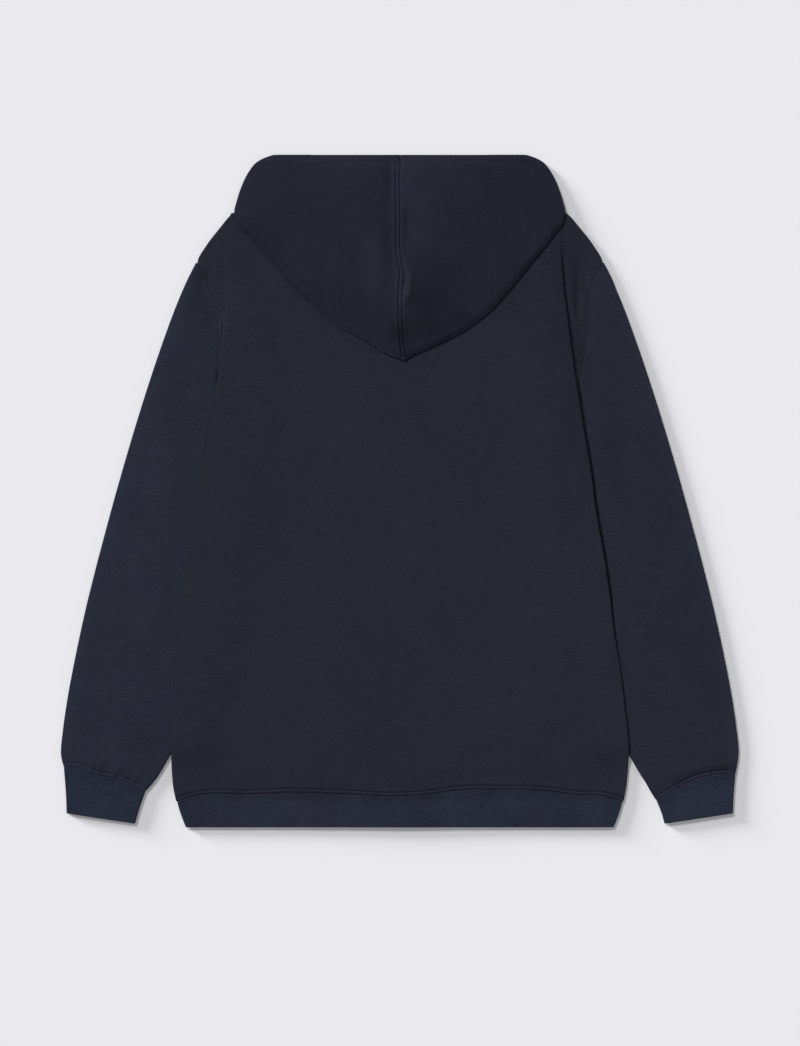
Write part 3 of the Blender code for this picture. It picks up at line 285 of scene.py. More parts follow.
def smooth(a, b, x):
    t = np.clip((np.asarray(x, float) - a) / (b - a), 0.0, 1.0)
    return t * t * (3 - 2 * t)


def follow(xs, ys, at):
    """A smooth curve through (xs, ys), with no overshoot between two rows."""
    xs, ys = np.asarray(xs, float), np.asarray(ys, float)
    h, d = np.diff(xs), np.diff(ys) / np.diff(xs)
    m = np.zeros(len(xs))
    m[0], m[-1] = d[0], d[-1]
    for i in range(1, len(xs) - 1):
        if d[i - 1] * d[i] > 0:
            a, b = 2 * h[i] + h[i - 1], h[i] + 2 * h[i - 1]
            m[i] = (a + b) / (a / d[i - 1] + b / d[i])
    at = np.clip(np.asarray(at, float), xs[0], xs[-1])
    i = np.clip(np.searchsorted(xs, at, side="right") - 1, 0, len(xs) - 2)
    t = (at - xs[i]) / h[i]
    return (
        (1 + 2 * t) * (1 - t) ** 2 * ys[i]
        + t * (1 - t) ** 2 * h[i] * m[i]
        + t * t * (3 - 2 * t) * ys[i + 1]
        + t * t * (t - 1) * h[i] * m[i + 1]
    )


def glide(xs, ys, at):
    """A smooth curve through (xs, ys) that keeps its slope through every row."""
    xs, ys = np.asarray(xs, float), np.asarray(ys, float)
    m = np.gradient(ys, xs)
    at = np.clip(np.asarray(at, float), xs[0], xs[-1])
    i = np.clip(np.searchsorted(xs, at, side="right") - 1, 0, len(xs) - 2)
    h = xs[i + 1] - xs[i]
    t = (at - xs[i]) / h
    return (
        (1 + 2 * t) * (1 - t) ** 2 * ys[i]
        + t * (1 - t) ** 2 * h * m[i]
        + t * t * (3 - 2 * t) * ys[i + 1]
        + t * t * (t - 1) * h * m[i + 1]
    )


def place(px, py):
    """A point of the picture, in millimetres in the frame."""
    return (px - PX_X) * PX, (PX_Y - py) * PX


def steps(*parts):
    """Numbers from start to stop in count steps, for each (start, stop, count), joined."""
    line = [parts[0][0]]
    for start, stop, count in parts:
        line += [start + (stop - start) * k / count for k in range(1, count + 1)]
    return np.array(line, float)


def distance_to_run(x, y, run):
    """Distance from each point to a run of short straight pieces, and how far along the run the nearest point is."""
    best = np.full(np.shape(x), 1e9)
    along = np.zeros(np.shape(x))
    lengths = [math.dist(a, b) for a, b in zip(run, run[1:])]
    total, done = sum(lengths), 0.0
    for (a, b), length in zip(zip(run, run[1:]), lengths):
        dx, dy = (b[0] - a[0]) / length, (b[1] - a[1]) / length
        t = np.clip((x - a[0]) * dx + (y - a[1]) * dy, 0.0, length)
        d = np.hypot(x - a[0] - dx * t, y - a[1] - dy * t)
        nearer = d < best
        best = np.where(nearer, d, best)
        along = np.where(nearer, (done + t) / total, along)
        done += length
    return best, along


def smooth_run(run, count=24):
    """The run's corners rounded off."""
    marks = np.arange(len(run), dtype=float)
    at = np.linspace(0, len(run) - 1, count)
    xs, ys = glide(marks, [p[0] for p in run], at), glide(marks, [p[1] for p in run], at)
    return list(zip(xs, ys))


def creases(piece, x, y):
    """Sum of the piece's soft ridges and troughs."""
    total = np.zeros(np.shape(x))
    for name, run, width, height in CREASES:
        if name != piece:
            continue
        run = [place(*p) for p in run]
        if len(run) > 2:
            run = smooth_run(run, 14)
        near = width * PX * 3.2
        xs, ys = [p[0] for p in run], [p[1] for p in run]
        pick = (x > min(xs) - near) & (x < max(xs) + near) & (y > min(ys) - near) & (y < max(ys) + near)
        if not pick.any():
            continue
        d, along = distance_to_run(x[pick], y[pick], run)
        ends = 0.45 + 0.55 * np.sin(np.pi * np.clip(along, 0.02, 0.98)) ** 0.6
        total[pick] += height * ends * np.exp(-((d / (width * PX)) ** 2))
    return total


def painted_shading(piece, x, y):
    """How much light or shade is painted onto the cloth's colour at each point."""
    px, py = np.asarray(x, float) / PX + PX_X, PX_Y - np.asarray(y, float) / PX
    total = np.zeros(np.shape(x))
    for name, middle, reach, amount in PAINTED_SHADING:
        if name == piece:
            total = total + amount * np.exp(-(((px - middle[0]) / reach[0]) ** 2) - ((py - middle[1]) / reach[1]) ** 2)
    return total


def wander(x, y, seed, size):
    """A slow smooth wave in both directions, without a pattern to see."""
    rng = np.random.default_rng(seed)
    total = np.zeros(np.shape(x))
    for _ in range(7):
        angle, phase = rng.uniform(0, math.tau, 2)
        k = math.tau / (size * rng.uniform(0.6, 1.7))
        total += np.sin(k * (x * math.cos(angle) + y * math.sin(angle)) + phase)
    return total / 7 * 1.6


BODY = {name: column(BODY_COLUMNS, BODY_ROWS, name) for name in BODY_COLUMNS}
HEM_X, HEM_Y = column(HEM_COLUMNS, HEM_ROWS, "x"), column(HEM_COLUMNS, HEM_ROWS, "y")
SEAM_Y, SEAM_X = column(HOOD_SEAM_COLUMNS, HOOD_SEAM_ROWS, "y"), column(HOOD_SEAM_COLUMNS, HOOD_SEAM_ROWS, "x")


FOLD_CHANGE_COLUMNS = ("y", "out")
FOLD_CHANGE = (
    (-345.0, 0.0), (-300.0, 0.6), (-281.0, 1.8), (-263.0, 1.8), (-245.0, 1.2), (-227.0, 1.3), (-209.0, 1.0), (-191.0, 0.4),
    (-173.0, -0.7), (-155.0, -1.1), (-137.0, -1.0), (-120.0, -0.4), (-84.0, -1.1), (-66.0, -1.5), (-48.0, -2.2),
    (-30.0, -2.9), (-12.0, -3.0), (6.0, -2.3), (24.0, -2.0), (60.0, -1.8), (95.0, -1.4), (150.0, -1.0), (185.0, -0.8),
    (205.0, -0.3), (225.0, -0.5), (250.0, -0.4), (309.0, 0.0),
)


def fold_at(side, y):
    x = follow(BODY["y"], BODY["fold_" + side], y)
    if side == "right":
        x = x + np.interp(y, column(FOLD_CHANGE_COLUMNS, FOLD_CHANGE, "y"), column(FOLD_CHANGE_COLUMNS, FOLD_CHANGE, "out"))
    return x


def seam_at(side, y):
    return follow(BODY["y"], BODY["seam_" + side], y)


def hem_at(x):
    return glide(HEM_X, HEM_Y, x) - SEAM_SHIFT


def lift_at(x, y):
    """How far the zip's slider lifts the layers near it."""
    return LIFT * np.exp(-((np.asarray(x) / LIFT_HALF_WIDTH) ** 2)) * smooth(125, 185, y) * (1 - smooth(262, 315, y))


def zip_bump(x, y):
    """The layers over the tape and chain lie higher than the rest."""
    x = np.asarray(x, float)
    near = 1.25 * np.exp(-((x / 62.0) ** 2)) * (1 - smooth(258, 305, y))
    under_hood = np.exp(-((x / 36.0) ** 2)) * smooth(150, 200, y) * (1 - smooth(258, 305, y))
    slider = np.exp(-((x / 36.0) ** 2)) * smooth(180, 220, y) * (1 - smooth(250, 300, y))
    return near + 0.75 * under_hood + 1.2 * slider


def run_under(side, y):
    return seam_at(side, y) - fold_at(side, y)


def strip_height(side, y):
    up = BACK + LAYER * (1 - smooth(2, 30, run_under(side, y))) * (1 - smooth(225, 262, y))
    return FLOOR + (up - FLOOR) * smooth(-312, -284, y)


PUFF_HIGH = {"left": 4.1, "right": 3.3}
PUFF_STRIP = {"left": 0.0, "right": 1.0}
PUFF_REACH = {"left": 34.0, "right": 40.0}


def puff_gap(side, y):
    """How far from the body's side the cloth beside it starts to rise."""
    if side == "left":
        return -1.25 + 0 * y
    return 0.8 + 2.6 * smooth(-200, -85, y) - 1.0 * smooth(140, 190, y)


def side_puff(side, x, y):
    """The cloth beside the body's side swells up to it, so that only a narrow line is left between them."""
    y = np.asarray(y, float)
    d = np.asarray(x, float) - fold_at(side, y)
    strip = PUFF_STRIP[side] * (1 - smooth(236, 292, y))
    low = 1 - 0.55 * smooth(120, 262, -y)
    high = strip + (PUFF_HIGH[side] * low - strip) * (1 - smooth(70, 168, y))
    return high * smooth(0.0, 1.25, d - puff_gap(side, y)) * np.exp(-((np.maximum(d - 3.0, 0.0) / PUFF_REACH[side]) ** 2))


def fold_height(side, y):
    return strip_height(side, y) + follow(BODY["y"], BODY["step_" + side], y)


def by_side(function, x, y):
    """function(side, y) where x is on that side."""
    return np.where(np.asarray(x) < 0, function("left", y), function("right", y))


def back_height(x, y):
    """Middle of the back panel, without its creases."""
    x, y = np.asarray(x, float), np.asarray(y, float)
    fold = by_side(fold_at, x, y)
    start = np.minimum(by_side(seam_at, x, y), fold - 8.0)
    rise = (by_side(fold_height, x, y) - BACK) * smooth(0.0, 1.0, (np.abs(x) - start + BACK_RAMP) / (BACK_RAMP - 3.0))
    return BACK + lift_at(x, y) + zip_bump(x, y) + rise


def edge_height(side, y, x):
    """Where a row meets the body's side: level, except near the hem seam, which it follows."""
    return y + (hem_at(SIDES[side] * x) + GAP / 2 - HEM_SEAM_LOW) * (1 - smooth(-345, -240, y)) + 3.0 * smooth(299, 309, y)


def front_neck(x):
    return NECK_POINT_Y - (NECK_POINT_Y - FRONT_NECK_Y) * (1 - (np.minimum(np.abs(x), NECK_HALF) / NECK_HALF) ** FRONT_NECK_POWER)


def back_neck(x):
    return BACK_NECK_Y + (NECK_POINT_Y - BACK_NECK_Y) * (np.minimum(np.abs(x), NECK_HALF) / NECK_HALF) ** 2


def shoulder_line(x):
    xs = (NECK_HALF, 186.0, 189.4, 204.2, 217.6, 227.2)
    ys = (NECK_POINT_Y, 311.7, 309.0, 292.0, 275.0, 256.0)
    return np.interp(np.abs(x), xs, ys)


def quarter_drop(s, radius):
    """Height lost on a quarter turn that ends at s = 0."""
    s = np.clip(s, 0.0, radius)
    return radius - np.sqrt(np.maximum(radius**2 - (radius - s) ** 2, 0.0))


def seam_profile(d, topstitch=TOPSTITCH, deep=1.0):
    """Height beside a sewn edge: it curls down into the seam, and a line of stitches pulls the cloth in."""
    d = np.asarray(d, float)
    z = -1.25 * np.exp(-((d / 0.95) ** 2))
    if topstitch:
        z = z + 0.55 * np.exp(-(((d - topstitch * 0.5) / 1.2) ** 2))
        z = z - 1.5 * deep * np.exp(-(((d - topstitch) / 0.78) ** 2))
        z = z + 0.35 * np.exp(-(((d - topstitch - 2.4) / 1.4) ** 2))
    return z


# --- shells -------------------------------------------------------------------------------------------------------
class Sheet:
    """A middle surface of shared points, made into a closed thin shell with rounded edges."""

    def __init__(self, thickness=CLOTH, rounding=0.55):
        self.points, self.flat, self.quads, self.painted_shading = [], [], [], []
        self.count, self.thickness, self.rounding = 0, thickness, rounding

    def add(self, x, y, z, seam=False, shading=0.0):
        """Adds an array of points and returns their numbers in the same shape."""
        x, y, z = np.broadcast_arrays(np.asarray(x, float), np.asarray(y, float), np.asarray(z, float))
        ids = self.count + np.arange(x.size).reshape(x.shape)
        self.points.append(np.stack([x.ravel(), y.ravel(), z.ravel()], 1))
        self.flat.append(np.full(x.size, seam))
        self.painted_shading.append(np.broadcast_to(np.asarray(shading, float), x.shape).ravel())
        self.count += x.size
        return ids

    def grid(self, ids, close=False):
        ids = np.asarray(ids)
        if close:
            ids = np.concatenate([ids, ids[:, :1]], 1)
        quads = np.stack([ids[:-1, :-1], ids[:-1, 1:], ids[1:, 1:], ids[1:, :-1]], -1).reshape(-1, 4)
        self.quads.append(quads)

    def shell(self, name, material, flip=False):
        points = np.concatenate(self.points)
        flat = np.concatenate(self.flat)
        quads = np.concatenate(self.quads)
        same = (quads == np.roll(quads, 1, 1)).sum(1)
        quads = quads[same < 2]
        if flip:
            quads = quads[:, ::-1]
        used = np.unique(quads)
        renumber = np.zeros(len(points), int)
        renumber[used] = np.arange(len(used))
        points, flat, quads = points[used], flat[used], renumber[quads]
        shading = np.concatenate(self.painted_shading)[used]
        n = np.cross(points[quads[:, 2]] - points[quads[:, 0]], points[quads[:, 3]] - points[quads[:, 1]])
        normals = np.zeros_like(points)
        for k in range(4):
            np.add.at(normals, quads[:, k], n)
        normals[flat, 0] = 0.0
        normals /= np.maximum(np.linalg.norm(normals, axis=1, keepdims=True), 1e-9)
        count, half = len(points), self.thickness / 2
        # the open edges, and the way in from each of their points
        a, b = quads.ravel(), np.roll(quads, -1, 1).ravel()
        keep = a != b
        a, b = a[keep], b[keep]
        code, back_code = a * count + b, b * count + a
        border = ~np.isin(code, back_code)
        ea, eb = a[border], b[border]
        along = points[eb] - points[ea]
        inward = np.cross(normals[ea] + normals[eb], along)
        inward /= np.maximum(np.linalg.norm(inward, axis=1, keepdims=True), 1e-9)
        way = np.zeros_like(points)
        np.add.at(way, ea, inward)
        np.add.at(way, eb, inward)
        size = np.linalg.norm(way, axis=1, keepdims=True)
        rim = size[:, 0] > 0
        way /= np.maximum(size, 1e-9)
        inset = way * self.rounding * rim[:, None]
        top, low = points + normals * half + inset, points - normals * half + inset
        top[:, 2], low[:, 2] = np.maximum(top[:, 2], 0.0), np.maximum(low[:, 2], 0.0)
        rim_ids = np.flatnonzero(rim)
        mid = np.zeros(count, int)
        mid[rim_ids] = 2 * count + np.arange(len(rim_ids))
        everything = np.concatenate([top, low, points[rim_ids]])
        faces = np.concatenate(
            [
                quads,
                quads[:, ::-1] + count,
                np.stack([eb, ea, mid[ea], mid[eb]], 1),
                np.stack([mid[eb], mid[ea], ea + count, eb + count], 1),
            ]
        )
        obj = mesh_object(name, everything, faces, material)
        # each point's painted light and shade goes into the mesh as an attribute
        obj.data.attributes.new("painted_shading", "FLOAT", "POINT").data.foreach_set("value", np.concatenate([shading, shading, shading[rim_ids]]).astype(np.float32))
        return obj


def mesh_object(name, points, faces, material, sharp=None):
    """A smooth mesh from arrays; a face with a repeated corner becomes a triangle."""
    faces = np.asarray(faces)
    lists = []
    for face in faces.tolist():
        kept = [c for i, c in enumerate(face) if c != face[i - 1]]
        if len(kept) > 2:
            lists.append(kept)
    mesh = bpy.data.meshes.new(name)
    mesh.from_pydata((np.asarray(points, float) * MM).tolist(), [], lists)
    mesh.materials.append(material)
    mesh.shade_smooth()
    if sharp:
        mesh.set_sharp_from_angle(angle=math.radians(sharp))
    mesh.update()
    obj = bpy.data.objects.new(name, mesh)
    bpy.context.scene.collection.objects.link(obj)
    return obj


# --- materials ----------------------------------------------------------------------------------------------------
class Nodes:
    """Short ways to add and join a material's nodes."""

    def __init__(self, name):
        self.material = bpy.data.materials.new(name)
        self.material.use_nodes = True
        self.tree = self.material.node_tree
        self.shader = self.tree.nodes["Principled BSDF"]

    def new(self, kind, **values):
        node = self.tree.nodes.new(kind)
        for key, value in values.items():
            setattr(node, key, value)
        return node

    def join(self, source, target):
        self.tree.links.new(source, target)

    def math(self, operation, a, b=None, clamp=False):
        node = self.new("ShaderNodeMath", operation=operation, use_clamp=clamp)
        for i, value in enumerate((a, b)):
            if value is None:
                continue
            if isinstance(value, (int, float)):
                node.inputs[i].default_value = value
            else:
                self.join(value, node.inputs[i])
        return node.outputs[0]

    def mapping(self, source, scale, turn=0.0, move=(0.0, 0.0, 0.0)):
        node = self.new("ShaderNodeMapping")
        node.inputs["Scale"].default_value = scale
        node.inputs["Rotation"].default_value = (0.0, 0.0, turn)
        node.inputs["Location"].default_value = move
        self.join(source, node.inputs["Vector"])
        return node.outputs[0]

    def noise(self, vector, scale=1.0, detail=2.0, rough=0.5):
        node = self.new("ShaderNodeTexNoise")
        node.inputs["Scale"].default_value = scale
        node.inputs["Detail"].default_value = detail
        node.inputs["Roughness"].default_value = rough
        self.join(vector, node.inputs["Vector"])
        return node.outputs["Fac"]

    def remap(self, value, low, high, to_low, to_high):
        node = self.new("ShaderNodeMapRange")
        for key, v in (("From Min", low), ("From Max", high), ("To Min", to_low), ("To Max", to_high)):
            node.inputs[key].default_value = v
        self.join(value, node.inputs["Value"])
        return node.outputs[0]


def knit_cloth(name, colour, turn=0.0, streak=1.0, rib=False, lint=1.0, fuzz=0.03, shade=1.0):
    """Brushed jersey: fine courses of loops, horizontal streaks, soft mottling and a little lint."""
    m = Nodes(name)
    where = m.new("ShaderNodeTexCoord").outputs["Object"]
    turned = m.mapping(where, (1.0, 1.0, 1.0), turn)
    streaks = m.noise(m.mapping(turned, (95.0, 620.0, 200.0)), 1.0, 3.0, 0.62)
    threads = m.noise(m.mapping(turned, (260.0, 1500.0, 400.0), 0.0, (3.0, 7.0, 0.0)), 1.0, 2.0, 0.6)
    grain = m.noise(m.mapping(turned, (950.0, 1100.0, 900.0)), 1.0, 2.0, 0.55)
    mottle = m.noise(where, 26.0, 3.0, 0.55)
    slow = m.noise(m.mapping(where, (9.0, 5.0, 7.0), 0.0, (1.7, 0.3, 0.0)), 1.0, 2.0, 0.5)
    value = m.math("ADD", m.remap(streaks, 0.3, 0.7, -0.17 * streak, 0.17 * streak), m.remap(threads, 0.3, 0.7, -0.13 * streak, 0.13 * streak))
    value = m.math("ADD", value, m.remap(grain, 0.3, 0.7, -0.19, 0.19))
    value = m.math("ADD", value, m.remap(mottle, 0.3, 0.7, -0.05 - 0.08 * rib, 0.05 + 0.08 * rib))
    value = m.math("ADD", value, m.remap(slow, 0.3, 0.7, -0.035, 0.035))
    value = m.math("ADD", value, shade)
    # the painted light and shade of each point lightens or darkens the colour
    value = m.math("ADD", value, m.new("ShaderNodeAttribute", attribute_name="painted_shading").outputs["Fac"])
    # lint: single light fibres, few and small
    cells = m.new("ShaderNodeTexVoronoi", feature="F1")
    cells.inputs["Scale"].default_value = 1.0
    m.join(m.mapping(turned, (80.0, 115.0, 10.0), 0.3), cells.inputs["Vector"])
    dot = m.remap(cells.outputs["Distance"], 0.04, 0.075, 1.0, 0.0)
    dot.node.clamp = True
    pick = m.new("ShaderNodeSeparateColor")
    m.join(cells.outputs["Color"], pick.inputs["Color"])
    rare = m.math("GREATER_THAN", pick.outputs[0], 0.90)
    lint_value = m.math("MULTIPLY", m.math("MULTIPLY", dot, rare), 1.5 * lint)
    tint = m.new("ShaderNodeMix", data_type="RGBA")
    tint.inputs["A"].default_value = (*colour, 1.0)
    warm = tuple(c * f for c, f in zip(colour, (1.07, 0.985, 0.96)))
    tint.inputs["B"].default_value = (*warm, 1.0)
    hue = m.noise(m.mapping(where, (34.0, 22.0, 30.0), 0.0, (5.1, 2.2, 0.4)), 1.0, 3.0, 0.6)
    m.join(m.remap(hue, 0.42, 0.62, 0.0, 1.0), tint.inputs["Factor"])
    scaled = m.new("ShaderNodeVectorMath", operation="SCALE")
    m.join(tint.outputs["Result"], scaled.inputs[0])
    m.join(m.math("ADD", value, lint_value), scaled.inputs["Scale"])
    m.join(scaled.outputs[0], m.shader.inputs["Base Color"])
    # loops: columns of small Vs
    split = m.new("ShaderNodeSeparateXYZ")
    m.join(turned, split.inputs[0])
    u = m.math("MULTIPLY", split.outputs["X"], 1000.0 / 1.25)
    v = m.math("MULTIPLY", split.outputs["Y"], 1000.0 / 1.0)
    slant = m.math("ABSOLUTE", m.math("SUBTRACT", m.math("FRACT", u), 0.5))
    course = m.math("COSINE", m.math("MULTIPLY", m.math("ADD", v, m.math("MULTIPLY", slant, 1.4)), math.tau))
    wale = m.math("COSINE", m.math("MULTIPLY", u, math.tau))
    loops = m.math("ADD", m.math("MULTIPLY", course, 0.35), m.math("MULTIPLY", wale, 0.3))
    height = m.math("ADD", m.math("MULTIPLY", loops, 0.045 if not rib else 0.03), m.math("MULTIPLY", grain, 0.16))
    height = m.math("ADD", height, m.math("MULTIPLY", threads, 0.12))
    height = m.math("ADD", height, m.math("MULTIPLY", lint_value, 0.12))
    bump = m.new("ShaderNodeBump")
    bump.inputs["Strength"].default_value = 0.8
    bump.inputs["Distance"].default_value = 0.001
    m.join(height, bump.inputs["Height"])
    m.join(bump.outputs[0], m.shader.inputs["Normal"])
    s = m.shader.inputs
    s["Roughness"].default_value = 0.93
    s["Specular IOR Level"].default_value = 0.12
    s["Sheen Weight"].default_value = fuzz
    s["Sheen Roughness"].default_value = 0.55
    s["Sheen Tint"].default_value = (0.62, 0.68, 0.92, 1.0)
    return m.material


def thread_material(name, colour):
    m = Nodes(name)
    where = m.new("ShaderNodeTexCoord").outputs["Object"]
    twist = m.noise(m.mapping(where, (2600.0, 2600.0, 2600.0)), 1.0, 2.0, 0.5)
    mix = m.new("ShaderNodeMix", data_type="RGBA")
    mix.inputs["A"].default_value = (*[c * 0.75 for c in colour], 1.0)
    mix.inputs["B"].default_value = (*[c * 1.3 for c in colour], 1.0)
    m.join(m.remap(twist, 0.35, 0.65, 0.0, 1.0), mix.inputs["Factor"])
    m.join(mix.outputs["Result"], m.shader.inputs["Base Color"])
    bump = m.new("ShaderNodeBump")
    bump.inputs["Strength"].default_value = 0.5
    bump.inputs["Distance"].default_value = 0.0001
    m.join(twist, bump.inputs["Height"])
    m.join(bump.outputs[0], m.shader.inputs["Normal"])
    m.shader.inputs["Roughness"].default_value = 0.62
    m.shader.inputs["Sheen Weight"].default_value = 0.1
    return m.material


def tape_material(name, colour):
    """Herringbone weave of a zip tape."""
    m = Nodes(name)
    where = m.new("ShaderNodeTexCoord").outputs["Object"]
    split = m.new("ShaderNodeSeparateXYZ")
    m.join(where, split.inputs[0])
    u = m.math("MULTIPLY", split.outputs["X"], 1000.0 / 3.2)
    v = m.math("MULTIPLY", split.outputs["Y"], 1000.0 / 0.9)
    zig = m.math("MULTIPLY", m.math("ABSOLUTE", m.math("SUBTRACT", m.math("FRACT", u), 0.5)), 3.4)
    weave = m.math("COSINE", m.math("MULTIPLY", m.math("ADD", v, zig), math.tau))
    fine = m.noise(m.mapping(where, (1500.0, 1500.0, 1500.0)), 1.0, 2.0, 0.5)
    value = m.math("ADD", m.math("MULTIPLY", weave, 0.14), m.remap(fine, 0.3, 0.7, 0.86, 1.14))
    scaled = m.new("ShaderNodeVectorMath", operation="SCALE")
    scaled.inputs[0].default_value = colour
    m.join(value, scaled.inputs["Scale"])
    m.join(scaled.outputs[0], m.shader.inputs["Base Color"])
    bump = m.new("ShaderNodeBump")
    bump.inputs["Strength"].default_value = 0.6
    bump.inputs["Distance"].default_value = 0.0002
    m.join(m.math("ADD", weave, fine), bump.inputs["Height"])
    m.join(bump.outputs[0], m.shader.inputs["Normal"])
    m.shader.inputs["Roughness"].default_value = 0.7
    m.shader.inputs["Sheen Weight"].default_value = 0.15
    return m.material


def metal_material(name, colour, rough):
    """Dark lacquered metal, a little worn."""
    m = Nodes(name)
    where = m.new("ShaderNodeTexCoord").outputs["Object"]
    wear = m.noise(where, 900.0, 4.0, 0.6)
    scratch = m.noise(m.mapping(where, (2500.0, 300.0, 2500.0)), 1.0, 2.0, 0.6)
    mix = m.new("ShaderNodeMix", data_type="RGBA")
    mix.inputs["A"].default_value = (*colour, 1.0)
    mix.inputs["B"].default_value = (*[min(1.0, c * 1.9) for c in colour], 1.0)
    m.join(m.remap(wear, 0.56, 0.72, 0.0, 0.7), mix.inputs["Factor"])
    m.join(mix.outputs["Result"], m.shader.inputs["Base Color"])
    m.join(m.remap(scratch, 0.3, 0.7, rough - 0.08, rough + 0.1), m.shader.inputs["Roughness"])
    bump = m.new("ShaderNodeBump")
    bump.inputs["Strength"].default_value = 0.25
    bump.inputs["Distance"].default_value = 0.00005
    m.join(scratch, bump.inputs["Height"])
    m.join(bump.outputs[0], m.shader.inputs["Normal"])
    m.shader.inputs["Metallic"].default_value = 1.0
    return m.material


NAVY = (0.0222, 0.0236, 0.0384)
fleece_back = knit_cloth("fleece_back", NAVY)
fleece_front = knit_cloth("fleece_front", NAVY)
# the left sleeve's copy of the fleece is lighter than the right's: painted light
fleece_sleeves = {
    "left": knit_cloth("fleece_sleeve_left", (0.0224, 0.0257, 0.0436), turn=0.13),
    "right": knit_cloth("fleece_sleeve_right", (0.0222, 0.0241, 0.0408), turn=-0.13),
}
# the hood's copy of the fleece is darker than the back's: painted shade
fleece_hood = knit_cloth("fleece_hood", (0.0186, 0.0198, 0.0345), streak=0.6)
rib_hem = knit_cloth("rib_hem", (0.0226, 0.0286, 0.0484), streak=1.1, rib=True, lint=0.6)
rib_cuffs = knit_cloth("rib_cuffs", (0.0230, 0.0296, 0.0518), streak=1.1, rib=True, lint=0.6)
thread = thread_material("thread_navy", (0.0120, 0.0130, 0.0230))
tape_cloth = tape_material("zip_tape_cloth", (0.013, 0.0145, 0.024))
metal = metal_material("zip_lacquer", (0.10, 0.10, 0.11), 0.36)
tooth = metal_material("zip_tooth", (0.13, 0.13, 0.14), 0.42)

made = {}


# --- back panel ---------------------------------------------------------------------------------------------------
def crevice(high, low, puff, count):
    """Half width from the fold and height of a section that goes down into a narrow slit and up to the strip."""
    round_top, slit, round_strip = 1.4, 2.0, 0.8
    bottom = low - 0.8
    u_turn = (CLOTH + slit) / 2
    pieces = []
    for a in np.linspace(math.pi / 2, 0, 6):
        pieces.append((-1.0 - round_top + round_top * math.cos(a) + 0 * high, high - round_top + round_top * math.sin(a)))
    for a in np.linspace(math.pi, math.tau, 8):
        pieces.append((-1.0 + u_turn + u_turn * math.cos(a) + 0 * high, bottom + u_turn + u_turn * math.sin(a)))
    for a in np.linspace(math.pi, math.pi / 2, 5):
        pieces.append((-1.0 + 2 * u_turn + round_strip + round_strip * math.cos(a) + 0 * high, low + puff - round_strip + round_strip * math.sin(a)))
    x, z = np.concatenate([p[0] for p in pieces], 1), np.concatenate([p[1] for p in pieces], 1)
    z[:, 6] = np.minimum(z[:, 6], z[:, 5])
    z[:, 14] = np.maximum(z[:, 14], z[:, 13])
    at = np.linspace(0, x.shape[1] - 1, count)
    i = np.minimum(at.astype(int), x.shape[1] - 2)
    t = (at - i)[None, :]
    return x[:, i] * (1 - t) + x[:, i + 1] * t, z[:, i] * (1 - t) + z[:, i + 1] * t


def fold_section(side, y, turn, strip):
    """The back panel's outer end for rows at heights y: (half width, height) arrays."""
    fold, seam = fold_at(side, y)[:, None] - CLOTH / 2, seam_at(side, y)[:, None]
    high, low = fold_height(side, y)[:, None], strip_height(side, y)[:, None]
    outward = smooth(-1.0, 5.0, run_under(side, y))[:, None]
    k = np.linspace(0, 1, turn + 1)[None, :]
    angle = math.pi * (0.5 - k)
    wide = 9.0 if side == "left" else 3.4
    ox, oz = fold + wide * (k - 0.5), low + (high - low) * (0.5 + 0.5 * np.sin(angle))
    puff = side_puff(side, fold + CLOTH / 2 + 3.0, y[:, None])
    cx, cz = crevice(high, low, puff, turn + 1)
    deep = smooth(0.9, 2.3, high - low) * (0.0 if side == "left" else 1.0)
    ox, oz = ox * (1 - deep) + (fold + 1.0 + cx) * deep, oz * (1 - deep) + cz * deep
    r = (high - low) / 2
    ux, uz = fold - r + r * np.cos(angle), low + r + r * np.sin(angle)
    x, z = ox * outward + ux * (1 - outward), oz * outward + uz * (1 - outward)
    tip = smooth(253.0, 257.0, y)[:, None]
    end = (seam + 0.5 * (1 - smooth(252, 258, y))[:, None] - 4.7 * np.clip((y - 299.5) / 9.5, 0, 1)[:, None] ** 1.9) * outward + np.minimum(seam, fold - 5.0) * (1 - outward)
    t = 1 - (1 - np.linspace(0, 1, strip + 1)[None, 1:]) ** 1.5
    sx = x[:, -1:] + (end - x[:, -1:]) * t
    sz = low + (z[:, -1:] - low) * (1 - t) * (1 - deep * outward) + side_puff(side, sx, y[:, None]) * outward * deep
    from_end = np.abs(end - sx)
    sz = sz - quarter_drop(from_end, 1.6) * tip * outward
    sz = sz + seam_profile(from_end, 0) * (1 - tip) * outward * 0.6
    return np.concatenate([x, sx], 1), np.concatenate([z, sz], 1)


# painted shade in a broad band above the hem seam, and a thin painted highlight about 2 mm above it
def hem_painted_shading(from_seam):
    return -0.07 * np.exp(-((from_seam / 32.0) ** 2)) + 0.06 * np.exp(-(((from_seam - 1.9) / 0.9) ** 2))


def back_relief(x, y):
    """Creases of the back panel, and a slow wave that fades out where the hood lies on it."""
    z = creases("back", x, y) + 0.28 * wander(x, y, 11, 150.0) * (1 - smooth(150, 260, y))
    return z


